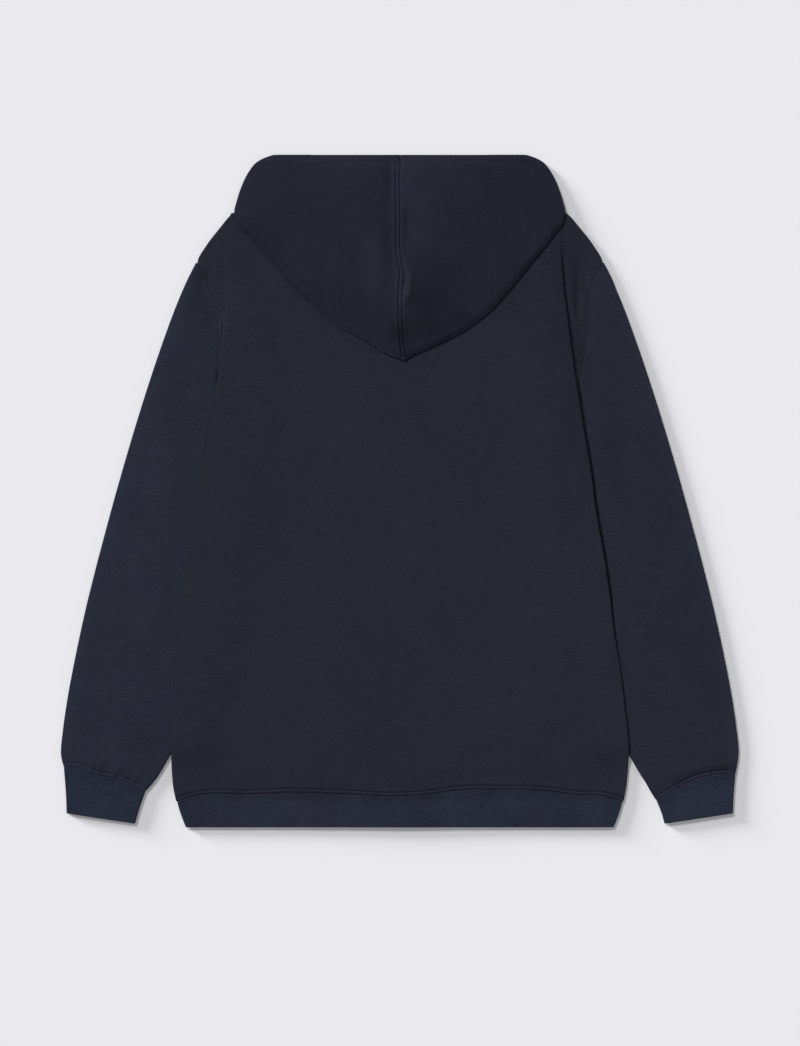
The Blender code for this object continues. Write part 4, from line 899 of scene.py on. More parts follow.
def build_back():
    sheet = Sheet()
    ys = steps((0, 1.2, 4), (1.2, 2.8, 3), (2.8, 5.2, 7), (5.2, 8, 4), (8, 14, 3), (14, 640, 196), (640, 648, 4), (648, 654, 12)) + HEM_SEAM_LOW
    rows = len(ys)
    v = ((ys - ys[0]) / (ys[-1] - ys[0]))[:, None]
    tails = {side: fold_section(side, ys, 19, 13) for side in SIDES}
    starts = {side: np.minimum(seam_at(side, ys), fold_at(side, ys) - 8.0)[:, None] for side in SIDES}
    near = steps((3, 39, 17))[None, :]
    left, right = near[0, -1] - starts["left"], starts["right"] - near[0, -1]
    middle = (left + right) / 2 + (right - left) / 2 * np.linspace(-1, 1, 104)[None, 1:-1]
    x = np.concatenate([-starts["left"] + near, middle, starts["right"] - near[:, ::-1]], 1)
    y = np.repeat(ys[:, None], x.shape[1], 1)
    shoulder = smooth(NECK_HALF + 2, NECK_HALF + 12, np.abs(x))
    top = np.where(np.abs(x) < NECK_HALF, back_neck(x), shoulder_line(np.minimum(np.abs(x), 186.0))) - 0.2 * shoulder
    bottom = hem_at(x) + GAP / 2
    start = np.where(x < 0, starts["left"], starts["right"])
    edge = np.minimum(np.abs(x) / (start - 3.0), 1.0) ** 6
    level = np.where(x < 0, edge_height("left", y, np.abs(x)), edge_height("right", y, np.abs(x)))
    py = (bottom + (top - bottom) * v) * (1 - edge) + level * edge
    z = back_height(x, py) + back_relief(x, py)
    from_top = (1 - v) * (ys[-1] - ys[0])
    z = z - quarter_drop(from_top, 1.6) * shoulder
    from_seam = np.repeat((ys - ys[0])[:, None], x.shape[1], 1)
    pucker = 1 + 0.18 * np.sin(x / 5.3 + 2 * np.sin(x / 31.0)) + 0.12 * np.sin(x / 2.1)
    z = z + (seam_profile(from_seam) + 0.25 * np.exp(-((from_seam / 0.95) ** 2))) * pucker
    parts = []
    for side, sign in SIDES.items():
        tx, tz = tails[side]
        ty = edge_height(side, ys[:, None], tx)
        seam_drop = seam_profile((ys - ys[0])[:, None]) * np.cos(np.linspace(0, math.pi / 2, tx.shape[1]))[None, :] ** 0.7
        low, high = strip_height(side, ys)[:, None], fold_height(side, ys)[:, None]
        seam_drop = seam_drop * np.clip((tz - low) / (high - low + 0.01), 0, 1)
        tz = tz + creases("back", sign * tx, ty) * np.clip(1.2 - np.abs(np.linspace(0, 1, tx.shape[1]) * 2 - 1), 0, 1)[None, :] * (run_under(side, ys) > 4)[:, None] + seam_drop
        # painted shade on the cloth where it goes down into the slit beside the right fold
        crevice_painted_shade = 0.0
        if side == "right":
            beside = tx - fold_at(side, ys)[:, None]
            crevice_painted_shade = 0.55 * smooth(0.9, 2.2, fold_height(side, ys)[:, None] - tz) * (1 - smooth(2.3, 3.3, beside)) * smooth(-4.0, -1.5, beside)
        ids = sheet.add(sign * tx, ty, tz, shading=painted_shading("back", sign * tx, ty) + hem_painted_shading(ys[:, None] - ys[0]) - crevice_painted_shade)
        parts.append(ids[:, ::-1] if sign < 0 else ids)
    inner = sheet.add(x, py, z, shading=painted_shading("back", x, py) + hem_painted_shading(from_seam))
    sheet.grid(np.concatenate([parts[0], inner, parts[1]], 1))
    made["back"] = sheet.shell("back_panel", fleece_back)
    return rows


# --- front panels -------------------------------------------------------------------------------------------------
def build_front(side):
    sign = SIDES[side]
    sheet = Sheet()
    ys = steps((0, 1.2, 3), (1.2, 2.8, 2), (2.8, 5.2, 4), (5.2, 14, 4), (14, 590, 96), (590, 601, 8)) + HEM_SEAM_LOW
    v = ((ys - ys[0]) / (ys[-1] - ys[0]))[:, None]
    end = np.where(
        ys >= UNDERARM_Y, seam_at(side, ys) - GAP / 2, np.minimum(seam_at(side, ys), fold_at(side, ys) - CLOTH / 2 - 5.0) - GAP
    )[:, None]
    joined = (1 - smooth(-14.0, UNDERARM_Y - 2.0, ys))[:, None]
    height = FLOOR + (strip_height(side, ys)[:, None] - FLOOR) * joined
    inner = end - SIDE_RAMP
    t = steps((0, 0.012, 3), (0.012, 0.05, 8), (0.05, 1.0, 42))[None, :]
    x = np.concatenate([FRONT_EDGE + (inner - FRONT_EDGE) * t, end - steps((11.5, 0, 9))[None, :]], 1)
    u = (x - FRONT_EDGE) / (end - FRONT_EDGE)
    at_top = FRONT_EDGE + u * (227.2 - FRONT_EDGE)
    shoulder = smooth(NECK_HALF, NECK_HALF + 10, at_top)
    top = np.where(at_top < NECK_HALF, front_neck(at_top), shoulder_line(at_top)) - 2.4 * shoulder
    bottom = hem_at(sign * x) + GAP / 2
    y = np.repeat(ys[:, None], x.shape[1], 1)
    edge = np.minimum(x / inner, 1.0) ** 6 * (1 - smooth(150, 256, y) * (x < inner + 1))
    py = (bottom + (top - bottom) * v) * (1 - edge) + edge_height(side, y, x) * edge
    z = FLOOR + (height - FLOOR) * smooth(0, 1, (x - inner) / (end - 1.0 - inner)) + lift_at(x, py)
    # the line of stitches that holds the zip pulls the edge in a little from below
    z = z + 0.35 * np.exp(-(((x - FRONT_EDGE - 6.5) / 0.9) ** 2))
    ids = sheet.add(sign * x, py, z)
    sheet.grid(ids)
    made["front_" + side] = sheet.shell("front_panel_" + side, fleece_front, flip=sign < 0)


# --- sleeves and cuffs --------------------------------------------------------------------------------------------
def ring(side, ox, oy, ix, iy, bow, crown, layer, narrow, low_spots, top_spots, turn):
    """Flattened rings, one for each row of the arrays: under side, inner edge, upper side, outer edge."""
    ox, oy, ix, iy, bow, crown = [np.asarray(a, float)[:, None] for a in (ox, oy, ix, iy, bow, crown)]
    length = np.hypot(ix - ox, iy - oy)
    dx, dy = (ix - ox) / length, (iy - oy) / length
    r = layer / 2
    inset = CLOTH / 2 + r + np.asarray(narrow, float).reshape(-1, 1)

    def spots(t):
        along = inset + (length - 2 * inset) * t
        bend = bow * np.sin(math.pi * np.minimum(t * 1.25, 1.0)) ** 1.2
        return ox + dx * along - bend * np.abs(dy), oy + dy * along

    top = np.atleast_2d(top_spots)[:, ::-1]
    lx, ly = spots(np.atleast_2d(low_spots))
    lz = np.full(lx.shape, FLOOR)
    tx, ty = spots(top)
    cover = smooth(3.0, 28.0, tx - fold_at(side, ty))
    tz = FLOOR + layer + crown * np.sin(math.pi * top) * cover
    a = (math.pi * np.arange(1, turn) / turn - math.pi / 2)[None, :]
    ax, ay = lx[:, -1:] + dx * r * np.cos(a), ly[:, -1:] + dy * r * np.cos(a)
    az = np.repeat(FLOOR + r + r * np.sin(a), len(ox), 0)
    bx, by = lx[:, :1] - dx * r * np.cos(a), ly[:, :1] - dy * r * np.cos(a)
    bz = np.repeat(FLOOR + r - r * np.sin(a), len(ox), 0)
    return (
        np.concatenate([lx, ax, tx, bx], 1),
        np.concatenate([ly, ay, ty, by], 1),
        np.concatenate([lz, az, tz, bz], 1),
    )


def crossing_spots(side, ox, oy, ix, iy, far_count, close_count, last_count):
    """Columns of the upper side, close together where each row passes under the body's side."""
    length = np.hypot(ix - ox, iy - oy)
    t = np.linspace(0, 1, 801)
    x = ox[:, None] + (ix - ox)[:, None] * t
    y = oy[:, None] + (iy - oy)[:, None] * t
    outside = x > fold_at(side, y)
    cross = np.where(outside.all(1), 1.0, 1 - t[np.argmax(~outside, axis=1) - 1] * 0 - 1 + t[np.argmax(~outside, axis=1)])
    near, past = 7.0 / length, 2.5 / length
    start, stop = np.minimum(cross, 1 - past * 1.2) - near, np.minimum(cross, 1 - past * 1.2) + past
    rows = []
    for a, b in zip(start, stop):
        rows.append(np.concatenate([np.linspace(0, a, far_count)[:-1], np.linspace(a, b, close_count)[:-1], np.linspace(b, 1, last_count)]))
    return np.array(rows)


def armhole_line(side, t):
    """The armhole seam's points, from the shoulder tip down to the underarm."""
    y = follow(np.linspace(0, 1, len(ARMHOLE_HEIGHTS)), ARMHOLE_HEIGHTS, t)
    x = seam_at(side, y) + 0.3 + 3.3 * smooth(0.9, 1.0, t)
    return x, y + smooth(0.9, 1.0, t)


CUFF_DOWN = {"left": 0.0, "right": 7.9}  # how much further down the right cuff's seam lies


def cuff_wave(side, t):
    """The cuff seam isn't straight: how far it lies above the line between its ends."""
    if side == "left":
        ts = (0.0, 0.16, 0.28, 0.40, 0.52, 0.68, 0.83, 0.92, 1.0)
        return follow(ts, (0.2, 4.3, 3.2, 2.3, 3.5, 5.2, 3.1, 1.9, 0.0), t)
    ts = (0.0, 0.15, 0.28, 0.45, 0.60, 0.78, 0.90, 1.0)
    return follow(ts, (0.0, 4.2, 6.7, 7.8, 6.8, 3.4, 0.6, -2.0), t)


def build_sleeve(side):
    sign = SIDES[side]
    names = SLEEVE_COLUMNS
    marks = np.arange(len(SLEEVE_ROWS), dtype=float)
    # rows: dense beside the armhole seam and the cuff seam
    s = steps((0.0, 0.02, 4), (0.02, 0.06, 4), (0.06, 0.6, 14), (0.6, 8.55, 106), (8.55, 9.0, 20))
    table = {n: column(names, SLEEVE_ROWS, n) for n in names}
    vals = {n: glide(marks, table[n], s) for n in names}
    rounder = np.interp(
        -vals["outer_y"],
        (-258.0, -254.6, -245.6, -236.7, -225.5, -214.0, -190.0, -150.0, 100.0, 208.0, 256.0, 291.0, 305.0),
        (0.0, -0.2, 0.1, 0.25, 0.1, 0.1, 0.4, 0.5, 0.5, 1.2, 1.6, 0.9, 0.5) if side == "left" else (0.0, 0.0, 0.4, 0.35, -0.45, -0.3, -0.1, 0.1, 0.2, 1.2, 1.6, 0.9, 0.5),
    )
    vals["outer_x"] = vals["outer_x"] + rounder
    down = SEAM_SHIFT + CUFF_DOWN[side]
    slip = smooth(8.0, 9.0, s) * down
    way_o = np.array((CUFF_OUTER[0] - 376.6, CUFF_OUTER[1] + 305.4)) / math.hypot(CUFF_OUTER[0] - 376.6, CUFF_OUTER[1] + 305.4)
    way_i = np.array((CUFF_INNER[0] - 284.0, CUFF_INNER[1] + 333.6)) / math.hypot(CUFF_INNER[0] - 284.0, CUFF_INNER[1] + 333.6)
    ox, oy = vals["outer_x"] + way_o[0] * slip, vals["outer_y"] + way_o[1] * slip
    ix, iy = vals["inner_x"] + way_i[0] * slip, vals["inner_y"] + way_i[1] * slip
    bow = np.maximum(vals["bow_" + side], 0)
    fade = np.minimum(1.0, s / 2.0) * (1 - 0.4 * smooth(8.0, 9.0, s))
    low_spots, turn = np.linspace(0, 1, 30), 9
    top_spots = crossing_spots(side, ox, oy, ix, iy, 58, 30, 12)
    x, y, z = ring(side, ox, oy, ix, iy, bow, SLEEVE_CROWN * fade, LAYER, np.zeros(len(s)), low_spots, top_spots, turn)
    # the first ring lies along the armhole seam, and the rings after it come away from it step by step
    a = (math.pi * np.arange(1, turn) / turn - math.pi / 2)
    lx, ly = armhole_line(side, low_spots)
    tx, ty = armhole_line(side, top_spots[0, ::-1])
    r = LAYER / 2
    joined = FLOOR + LAYER + (strip_height(side, ty) - FLOOR - LAYER) * smooth(-3.0, 5.0, run_under(side, ty)) * (1 - smooth(238, 256, ty) * 0)
    first_x = np.concatenate([lx, lx[-1] - 0.6 * np.cos(a), tx, lx[0] + 1.1 * np.cos(a)])
    first_y = np.concatenate([ly, ly[-1] - 1.1 * np.cos(a), ty, ly[0] + 0.6 * np.cos(a)])
    first_z = np.concatenate([np.full(len(lx), FLOOR), FLOOR + r + r * np.sin(a), joined, FLOOR + r - r * np.sin(a)])
    ease = (1 - smooth(0.0, 1.5, s))[:, None]
    x, y, z = x + (first_x - x[0])[None, :] * ease, y + (first_y - y[0])[None, :] * ease, z + (first_z - z[0])[None, :] * ease
    # where the upper side starts and ends, going round a ring
    top_from = len(low_spots) + turn - 1
    top_to = top_from + top_spots.shape[1]
    rows = len(s)
    t_of = np.concatenate([np.tile(low_spots, (rows, 1)), np.ones((rows, turn - 1)), top_spots[:, ::-1], np.zeros((rows, turn - 1))], 1)
    weight = np.zeros(x.shape)
    weight[:, top_from:top_to] = np.sin(math.pi * top_spots[:, ::-1]) ** 0.35
    y = y + cuff_wave(side, t_of) * smooth(8.0, 9.0, s)[:, None]
    # creases on the upper side, and puckers gathered into the cuff
    clear = smooth(2.0, 16.0, x - fold_at(side, y))
    d_cuff = np.hypot(x - x[-1:, :], y - y[-1:, :])
    d_arm = np.hypot(x - x[:1, :], y - y[:1, :])
    relief = creases("sleeve_" + side, sign * x, y) + 0.3 * wander(sign * x, y, 21 + int(sign), 110.0)
    z = z + relief * weight * clear
    edge_far = np.minimum(1 - t_of, 1.0) * np.hypot(ix - ox, iy - oy)[:, None]
    is_top = np.zeros(x.shape)
    is_top[:, top_from:top_to] = 1.0
    puff_ends = (5.0, 6.7) if side == "left" else (6.6, 7.6)
    z = z + side_puff(side, x, y) * is_top * smooth(3.0, 16.0, edge_far) * (1 - smooth(*puff_ends, s))[:, None]
    phase = t_of * 46.0 + 1.3 * np.sin(t_of * 17.0)
    pucker = 0.55 * np.sin(phase) * np.exp(-((d_cuff - 7.0) / 9.0) ** 2) + 0.30 * np.sin(phase * 1.9 + 1.0) * np.exp(-((d_cuff - 3.0) / 5.0) ** 2)
    z = z + pucker * weight
    z = z + seam_profile(d_cuff) * weight
    z = z + seam_profile(d_arm, 0) * 0.6 * weight * (d_arm < 6)
    from_outer = t_of * np.hypot(ix - ox, iy - oy)[:, None]
    # painted light along the sleeve's outer edge
    shading = painted_shading("sleeve_" + side, sign * x, y) + 0.12 * np.exp(-((from_outer / 13.0) ** 2))
    # painted shade a little up the sleeve from the cuff seam, stronger on the right sleeve, and a thin painted
    # highlight right beside that seam
    cuff_painted_shade = 0.1 if side == "left" else 0.1 + 0.2 * (1 - smooth(0.6, 0.9, t_of))
    shading = shading + 0.2 * np.exp(-(((d_cuff - 2.0) / 0.9) ** 2)) - cuff_painted_shade * np.exp(-(((d_cuff - 6.5) / 4.0) ** 2))
    # painted shade in the slit beside the body's right side
    if side == "right":
        beside = x - fold_at(side, y)
        shading = shading - 0.6 * smooth(-6.0, -3.0, beside) * (1 - smooth(-0.2, 0.9, beside - puff_gap(side, y))) * (0.3 + 0.7 * smooth(-275, -225, y))
    sheet = Sheet()
    ids = sheet.add(sign * x, y, np.maximum(z, FLOOR), shading=shading * is_top)
    sheet.grid(ids, close=True)
    made["sleeve_" + side] = sheet.shell("sleeve_cloth_" + side, fleece_sleeves[side], flip=sign < 0)
    last = (ox[-1], oy[-1], ix[-1], iy[-1])
    stitch_lines.append(("cuff_" + side, x, y, z, d_cuff, (top_from, top_to), sign))

    # cuff: a ribbed tube
    t = steps((0, 0.02, 2), (0.02, 0.08, 3), (0.08, 0.9, 12), (0.9, 1.0, 5))
    width = math.hypot(last[2] - last[0], last[3] - last[1])
    ribs = int(round(width / RIB_PITCH))
    spots = np.linspace(0, 1, ribs * 4 + 1)
    ox = last[0] + (CUFF_OUTER[0] - last[0]) * t
    oy = last[1] + (CUFF_OUTER[1] - last[1]) * t
    ix = last[2] + (CUFF_INNER[0] - last[2]) * t
    iy = last[3] + (CUFF_INNER[1] - last[3]) * t
    pull = 0.35 * np.exp(-t / 0.12) + 0.7 * np.sin(math.pi * t)
    x, y, z = ring(side, ox, oy, ix, iy, np.zeros(len(t)), SLEEVE_CROWN * 0.5 * (1 - 0.6 * t), CUFF_LAYER, pull, spots, spots, turn)
    n = len(spots)
    t_of = np.concatenate([spots, np.ones(turn - 1), spots[::-1], np.zeros(turn - 1)])
    y = y + cuff_wave(side, t_of)[None, :] * (1 - smooth(0.0, 0.75, t))[:, None]
    dirx, diry = (ox - ix) / width, (oy - iy) / width
    wave = 0.5 + 0.5 * np.cos(math.tau * t_of * ribs)
    wave[n : n + turn - 1] = 0.6
    wave[2 * n + turn - 1 :] = 0.6
    up = np.concatenate([np.full(n, 1.0), np.zeros(turn - 1), np.full(n, 1.0), np.zeros(turn - 1)])
    flat_end = 1 - 0.35 * smooth(0.9, 1.0, t)[:, None]
    is_top = np.zeros(len(t_of))
    is_top[n + turn - 1 : 2 * n + turn - 1] = 1.0
    z = z + (wave * up * RIB_DEPTH * 1.5)[None, :] * flat_end * np.where(is_top > 0, 1.0, 0.7)[None, :]
    d_seam = t[:, None] * 55.0
    z = z - 0.9 * np.exp(-((d_seam / 1.0) ** 2)) * is_top[None, :]
    z = z + 0.25 * wander(sign * x, y, 31 + int(sign), 34.0) * is_top[None, :]
    cuff = Sheet()
    y = y + 0.15 * (1 - smooth(0, 0.05, t))[:, None]
    # painted shade on the cuff's upper side beside its seam
    cuff.grid(cuff.add(sign * x, y, z, shading=-0.16 * np.exp(-((d_seam / 9.0) ** 2)) * is_top[None, :]), close=True)
    made["cuff_" + side] = cuff.shell("cuff_rib_" + side, rib_cuffs, flip=sign < 0)


# --- hem band -----------------------------------------------------------------------------------------------------
def build_hem():
    """One ribbed strip from front edge to front edge, folded round both sides."""
    layer = 2.8
    r = layer / 2
    t = steps((0, 0.03, 2), (0.03, 0.1, 3), (0.1, 0.9, 8), (0.9, 1.0, 4))[:, None]
    turn = 10
    rim = {side: float(fold_at(side, HEM_SEAM_LOW)) - 1.2 for side in SIDES}
    ends = {side: (rim[side] * (1 - t) + HEM_BOTTOM_HALF * t) + 1.0 * np.sin(math.pi * t) - CLOTH / 2 - r for side in SIDES}

    def across(count):
        return np.linspace(0, 1, count)[None, :]

    n_front = int(round((rim["left"] - FRONT_EDGE) / RIB_PITCH)) * 4 + 1
    n_back = int(round((rim["left"] + rim["right"]) / RIB_PITCH)) * 4 + 1
    a = (math.pi * np.arange(1, turn) / turn - math.pi / 2)[None, :]
    lx = -FRONT_EDGE - (ends["left"] - FRONT_EDGE) * across(n_front)
    ax = -ends["left"] - r * np.cos(a)
    bx = -ends["left"] + (ends["left"] + ends["right"]) * across(n_back)
    cx = ends["right"] + r * np.cos(a)
    rx = ends["right"] - (ends["right"] - FRONT_EDGE) * across(n_front)
    rows = len(t)
    x = np.concatenate([lx, np.repeat(ax, 1, 0) if len(ax) == rows else ax, bx, cx, rx], 1)
    wave = np.concatenate(
        [
            0.5 + 0.5 * np.cos(math.tau * np.arange(n_front) / 4),
            np.full(turn - 1, 0.6),
            0.5 + 0.5 * np.cos(math.tau * np.arange(n_back) / 4),
            np.full(turn - 1, 0.6),
            0.5 + 0.5 * np.cos(math.tau * np.arange(n_front) / 4),
        ]
    )[None, :]
    is_top = np.concatenate([np.zeros(n_front + turn - 1), np.ones(n_back), np.zeros(n_front + turn - 1)])[None, :]
    y = (hem_at(x) + 0.1) * (1 - t) + HEM_BOTTOM * t
    z_low, z_turn = np.full((rows, n_front), FLOOR), np.repeat(FLOOR + r + r * np.sin(a), rows, 0)
    z_top = FLOOR + layer + zip_bump(bx, -340.0) + 0.55 * creases("back", bx, np.full(bx.shape, -333.0))
    z = np.concatenate([z_low, z_turn, z_top, FLOOR + 2 * r - (z_turn - FLOOR), z_low], 1)
    flat_end = 1 - 0.35 * smooth(0.92, 1.0, t)
    fade_in = smooth(0.0, 0.10, t) * 0.75 + 0.25
    z = z + wave * RIB_DEPTH * 1.5 * flat_end * fade_in * np.where(is_top > 0, 1.0, 0.7)
    d_seam = t * 36.0
    pucker = 0.16 * np.sin(x / 4.6 + 1.7 * np.sin(x / 23.0)) * np.exp(-d_seam / 7.0)
    z = z + (-0.8 * np.exp(-((d_seam / 1.0) ** 2)) + pucker) * is_top
    z = z + (0.22 * wander(x, y, 41, 46.0) + 0.25 * np.exp(-(((d_seam - 22.0) / 11.0) ** 2))) * is_top
    sheet = Sheet()
    # painted shade on the rib's upper side beside the hem seam
    shading = -0.17 * np.exp(-(((d_seam - 2.0) / 6.0) ** 2)) * is_top
    sheet.grid(sheet.add(x, y, z, shading=shading)[::-1])
    made["hem_band"] = sheet.shell("hem_rib", rib_hem)


# --- hood ---------------------------------------------------------------------------------------------------------
def near_tip(x, y):
    """Beside the hood's lowest point the layers lie closest together."""
    x = np.abs(np.asarray(x, float))
    return smooth(8, 22, x) * (1 - smooth(85, 110, x)) * (1 - smooth(205, 235, y))


def hood_lower(x, y):
    x = np.asarray(x, float)
    over = -0.3 + 0.5 * np.exp(-((x / 60.0) ** 2)) - 0.3 * near_tip(x, y)
    y = np.minimum(y, 305.0)
    clipped = np.clip(x, -183, 183)
    return back_height(clipped, y) + back_relief(clipped, y) + LAYER + over + 0.15


def hood_upper(x, y, from_edge):
    base = hood_lower(x, y)
    thin = np.exp(-np.asarray(from_edge, float) / 4.6) * (1.5 + 0.2 * near_tip(x, y)) * (1 - smooth(292, 314, y))
    puff = 0.9 * smooth(0, 6, from_edge) + 1.4 * smooth(0, 42, from_edge) - thin
    rim = 1.5 * (1 - smooth(0, 26, from_edge)) * smooth(296, 322, y)
    return base + LAYER + puff - rim - HOOD_TOP_DROP * smooth(305, 374, y)


def build_hood(side):
    sign = SIDES[side]
    sheet = Sheet(rounding=0.15)
    top = {n: column(HOOD_TOP_COLUMNS, HOOD_TOP_ROWS, n) for n in HOOD_TOP_COLUMNS}
    low = {n: column(HOOD_FOLD_COLUMNS, HOOD_FOLD_ROWS, n) for n in HOOD_FOLD_COLUMNS}
    rim_x, rim_y = column(HOOD_RIM_COLUMNS, HOOD_RIM_ROWS, "x"), column(HOOD_RIM_COLUMNS, HOOD_RIM_ROWS, "y")
    rough_x = np.concatenate([top["outline_x"], low[side + "_x"]])
    rough_y = np.concatenate([top["outline_y"], low[side + "_y"]])
    rough_y[:4] += 0.7
    rough_x[2:9] += (0.3, 0.6, 0.6, 0.5, 0.6, 0.6, 0.7) if side == "left" else (0.4, 1.2, 1.0, 0.7, 0.7, 0.8, 0.9)
    rough_y[4:7] += (0.6, 0.4, 0.2)
    if side == "right":
        rough_x[11:17] += (0.6, 0.8, 0.8, 0.6, 0.2, 0.0)
        rough_y[11:17] -= (0.4, 0.6, 0.7, 0.3, 0.0, 0.0)
    rough_seam = np.concatenate([top["seam_y"], low["seam_y"]])
    notch_mark = len(top["outline_x"])  # the outline's first point on the fold
    fine = 9
    marks = np.arange(len(rough_x), dtype=float)
    at = np.linspace(0, len(rough_x) - 1, (len(rough_x) - 1) * fine + 1)
    # the top edge is straight, then the corner turns, so the outline is followed by its length
    reach = np.concatenate([[0], np.cumsum(np.hypot(np.diff(rough_x), np.diff(rough_y)))])
    length_at = np.interp(at, marks, reach)
    out_x, out_y = glide(reach, rough_x, length_at), glide(reach, rough_y, length_at)
    out_y = np.minimum(out_y, 377.5)
    seam_y = follow(marks, rough_seam, at)
    count = len(at)
    notch = notch_mark * fine

    def seam_x(y):
        """Half width at the centre seam, measured towards this side."""
        middle = glide(SEAM_Y, SEAM_X, y) + 2.1 + 0.9
        return sign * middle + 0.05

    def under_x(y):
        middle = 4.2 * (1 - smooth(147, 215, y)) - 2.5 * smooth(320, 372, y) + 2.1
        return sign * middle + GAP / 2

    out_x[0], out_x[-1] = seam_x(out_y[0]), seam_x(out_y[-1])
    tangent_x, tangent_y = np.gradient(out_x), np.gradient(out_y)
    size = np.hypot(tangent_x, tangent_y)
    nx, ny = -tangent_y / size, tangent_x / size
    nx[0], ny[0], nx[-1], ny[-1] = 0.0, 1.0, 0.0, -1.0
    on_seam = np.zeros(count, bool)
    on_seam[[0, -1]] = True
    world_x = sign * out_x
    drop = smooth(notch - fine - 2, notch - 1, np.arange(count))
    z_low = FLOOR + (hood_lower(world_x, out_y) - FLOOR) * drop
    z_high = np.maximum(hood_upper(world_x, out_y, 0.0), z_low + 0.8)
    r = (z_high - z_low) / 2
    cx, cy = out_x - nx * (CLOTH / 2 + r), out_y - ny * (CLOTH / 2 + r)
    cx[0], cx[-1] = out_x[0], out_x[-1]
    turn = 10
    a = math.pi * (np.linspace(0, 1, turn + 1) - 0.5)[None, :]
    tx = cx[:, None] + nx[:, None] * r[:, None] * np.cos(a)
    ty = cy[:, None] + ny[:, None] * r[:, None] * np.cos(a)
    tz = (z_low + r)[:, None] + r[:, None] * np.sin(a)
    start_z = tz[:, -1].copy()
    # upper side: rays from the outline to the centre seam
    sx, sy = tx[:, -1], ty[:, -1]
    ex, ey = seam_x(seam_y), seam_y
    ray_length = np.hypot(ex - sx, ey - sy)[:, None]
    from_seam = np.concatenate([steps((9.0, 6.0, 4), (6.0, 3.4, 9), (3.4, 1.2, 4), (1.2, 0.0, 4))])
    far = steps((0, 0.012, 3), (0.012, 0.08, 9), (0.08, 1.0, 38))[None, 1:-1]
    near_end = np.minimum(9.0 + 0 * ray_length, ray_length * 0.45)
    d_end = np.concatenate([ray_length - (ray_length - near_end) * far, near_end * (from_seam / 9.0)[None, :]], 1)
    t = 1 - d_end / ray_length
    ux, uy = sx[:, None] + (ex - sx)[:, None] * t, sy[:, None] + (ey - sy)[:, None] * t
    edge_rows = (0, count - 1)
    for k in edge_rows:
        ux[k] = seam_x(uy[k])
    ux[:, -1] = seam_x(uy[:, -1])
    from_edge = np.minimum(ray_length * t, 60.0)
    for k in edge_rows:
        from_edge[k] = np.abs(uy[k] - out_y[k])
    wx = sign * ux
    uz = np.maximum(hood_upper(wx, uy, from_edge), start_z[:, None] - 1.5)
    inside = smooth(1.0, 12.0, from_edge)
    uz = uz + 1.7 * creases("hood", wx, uy) * inside + 0.35 * wander(wx, uy, 51, 90.0) * inside
    d_seam = np.abs(ux - seam_x(uy))
    wobble = 1 + 0.16 * np.sin(uy / 3.9 + 1.3 * np.sin(uy / 17.0))
    seam_z = seam_profile(d_seam, HOOD_TOPSTITCH if side == "left" else 0) * wobble
    if side == "right":
        seam_z = seam_z + 0.55 * np.exp(-(((d_seam - 2.3) / 1.2) ** 2))
    else:
        seam_z = seam_z + 0.45 * np.exp(-(((d_seam - 7.2) / 1.5) ** 2)) + 0.35 * np.exp(-(((d_seam - 2.0) / 1.0) ** 2))
    seam_fade = smooth(0.0, 5.0, np.arange(count))
    seam_fade[0] = 0.0
    uz = uz + seam_z * seam_fade[:, None]
    # painted highlights on the ridges beside the hood's centre seam, and painted shade in its line of stitches and in
    # the seam itself
    if side == "left":
        seam_painted_shading = 0.28 * np.exp(-(((d_seam - 2.2) / 1.0) ** 2)) + 0.26 * np.exp(-(((d_seam - 7.2) / 1.6) ** 2)) - 0.2 * np.exp(-(((d_seam - HOOD_TOPSTITCH) / 0.6) ** 2))
    else:
        seam_painted_shading = 0.24 * np.exp(-(((d_seam - 2.3) / 1.0) ** 2)) + 0.06 * np.exp(-(((d_seam - 4.5) / 2.5) ** 2))
    seam_painted_shading = seam_painted_shading - 0.15 * np.exp(-((d_seam / 0.6) ** 2))
    top_painted_shading = painted_shading("hood", wx, uy) + seam_painted_shading
    rim_painted_shading = painted_shading("hood", sign * tx, ty)
    # painted light on the rim near the hood's lowest point, and on the left on the edge beside it too; on the right,
    # painted shade just inside the edge
    if side == "left":
        rim_painted_shading = rim_painted_shading + 1.1 * smooth(218, 192, ty) * (ty < 300)
        top_painted_shading = top_painted_shading + 0.2 * np.exp(-from_edge / 3.5) * smooth(218, 192, uy)
    else:
        rim_painted_shading = rim_painted_shading + 0.4 * smooth(215, 190, ty)
        top_painted_shading = top_painted_shading - 0.1 * np.exp(-from_edge / 3.0) * (1 - smooth(285, 305, uy))
    turn_ids = np.stack([sheet.add(tx[k], ty[k], tz[k], on_seam[k], rim_painted_shading[k]) for k in range(count)])
    ray_ids = np.stack(
        [
            sheet.add(ux[k], uy[k], uz[k], True, top_painted_shading[k])
            if on_seam[k]
            else np.concatenate([sheet.add(ux[k, :-1], uy[k, :-1], uz[k, :-1], False, top_painted_shading[k, :-1]), sheet.add(ux[k, -1:], uy[k, -1:], uz[k, -1:], True, top_painted_shading[k, -1:])])
            for k in range(count)
        ]
    )
    sheet.grid(np.concatenate([turn_ids, ray_ids], 1))
    stitch_lines.append(("hood_" + side, ux, uy, uz, d_seam, None, sign))

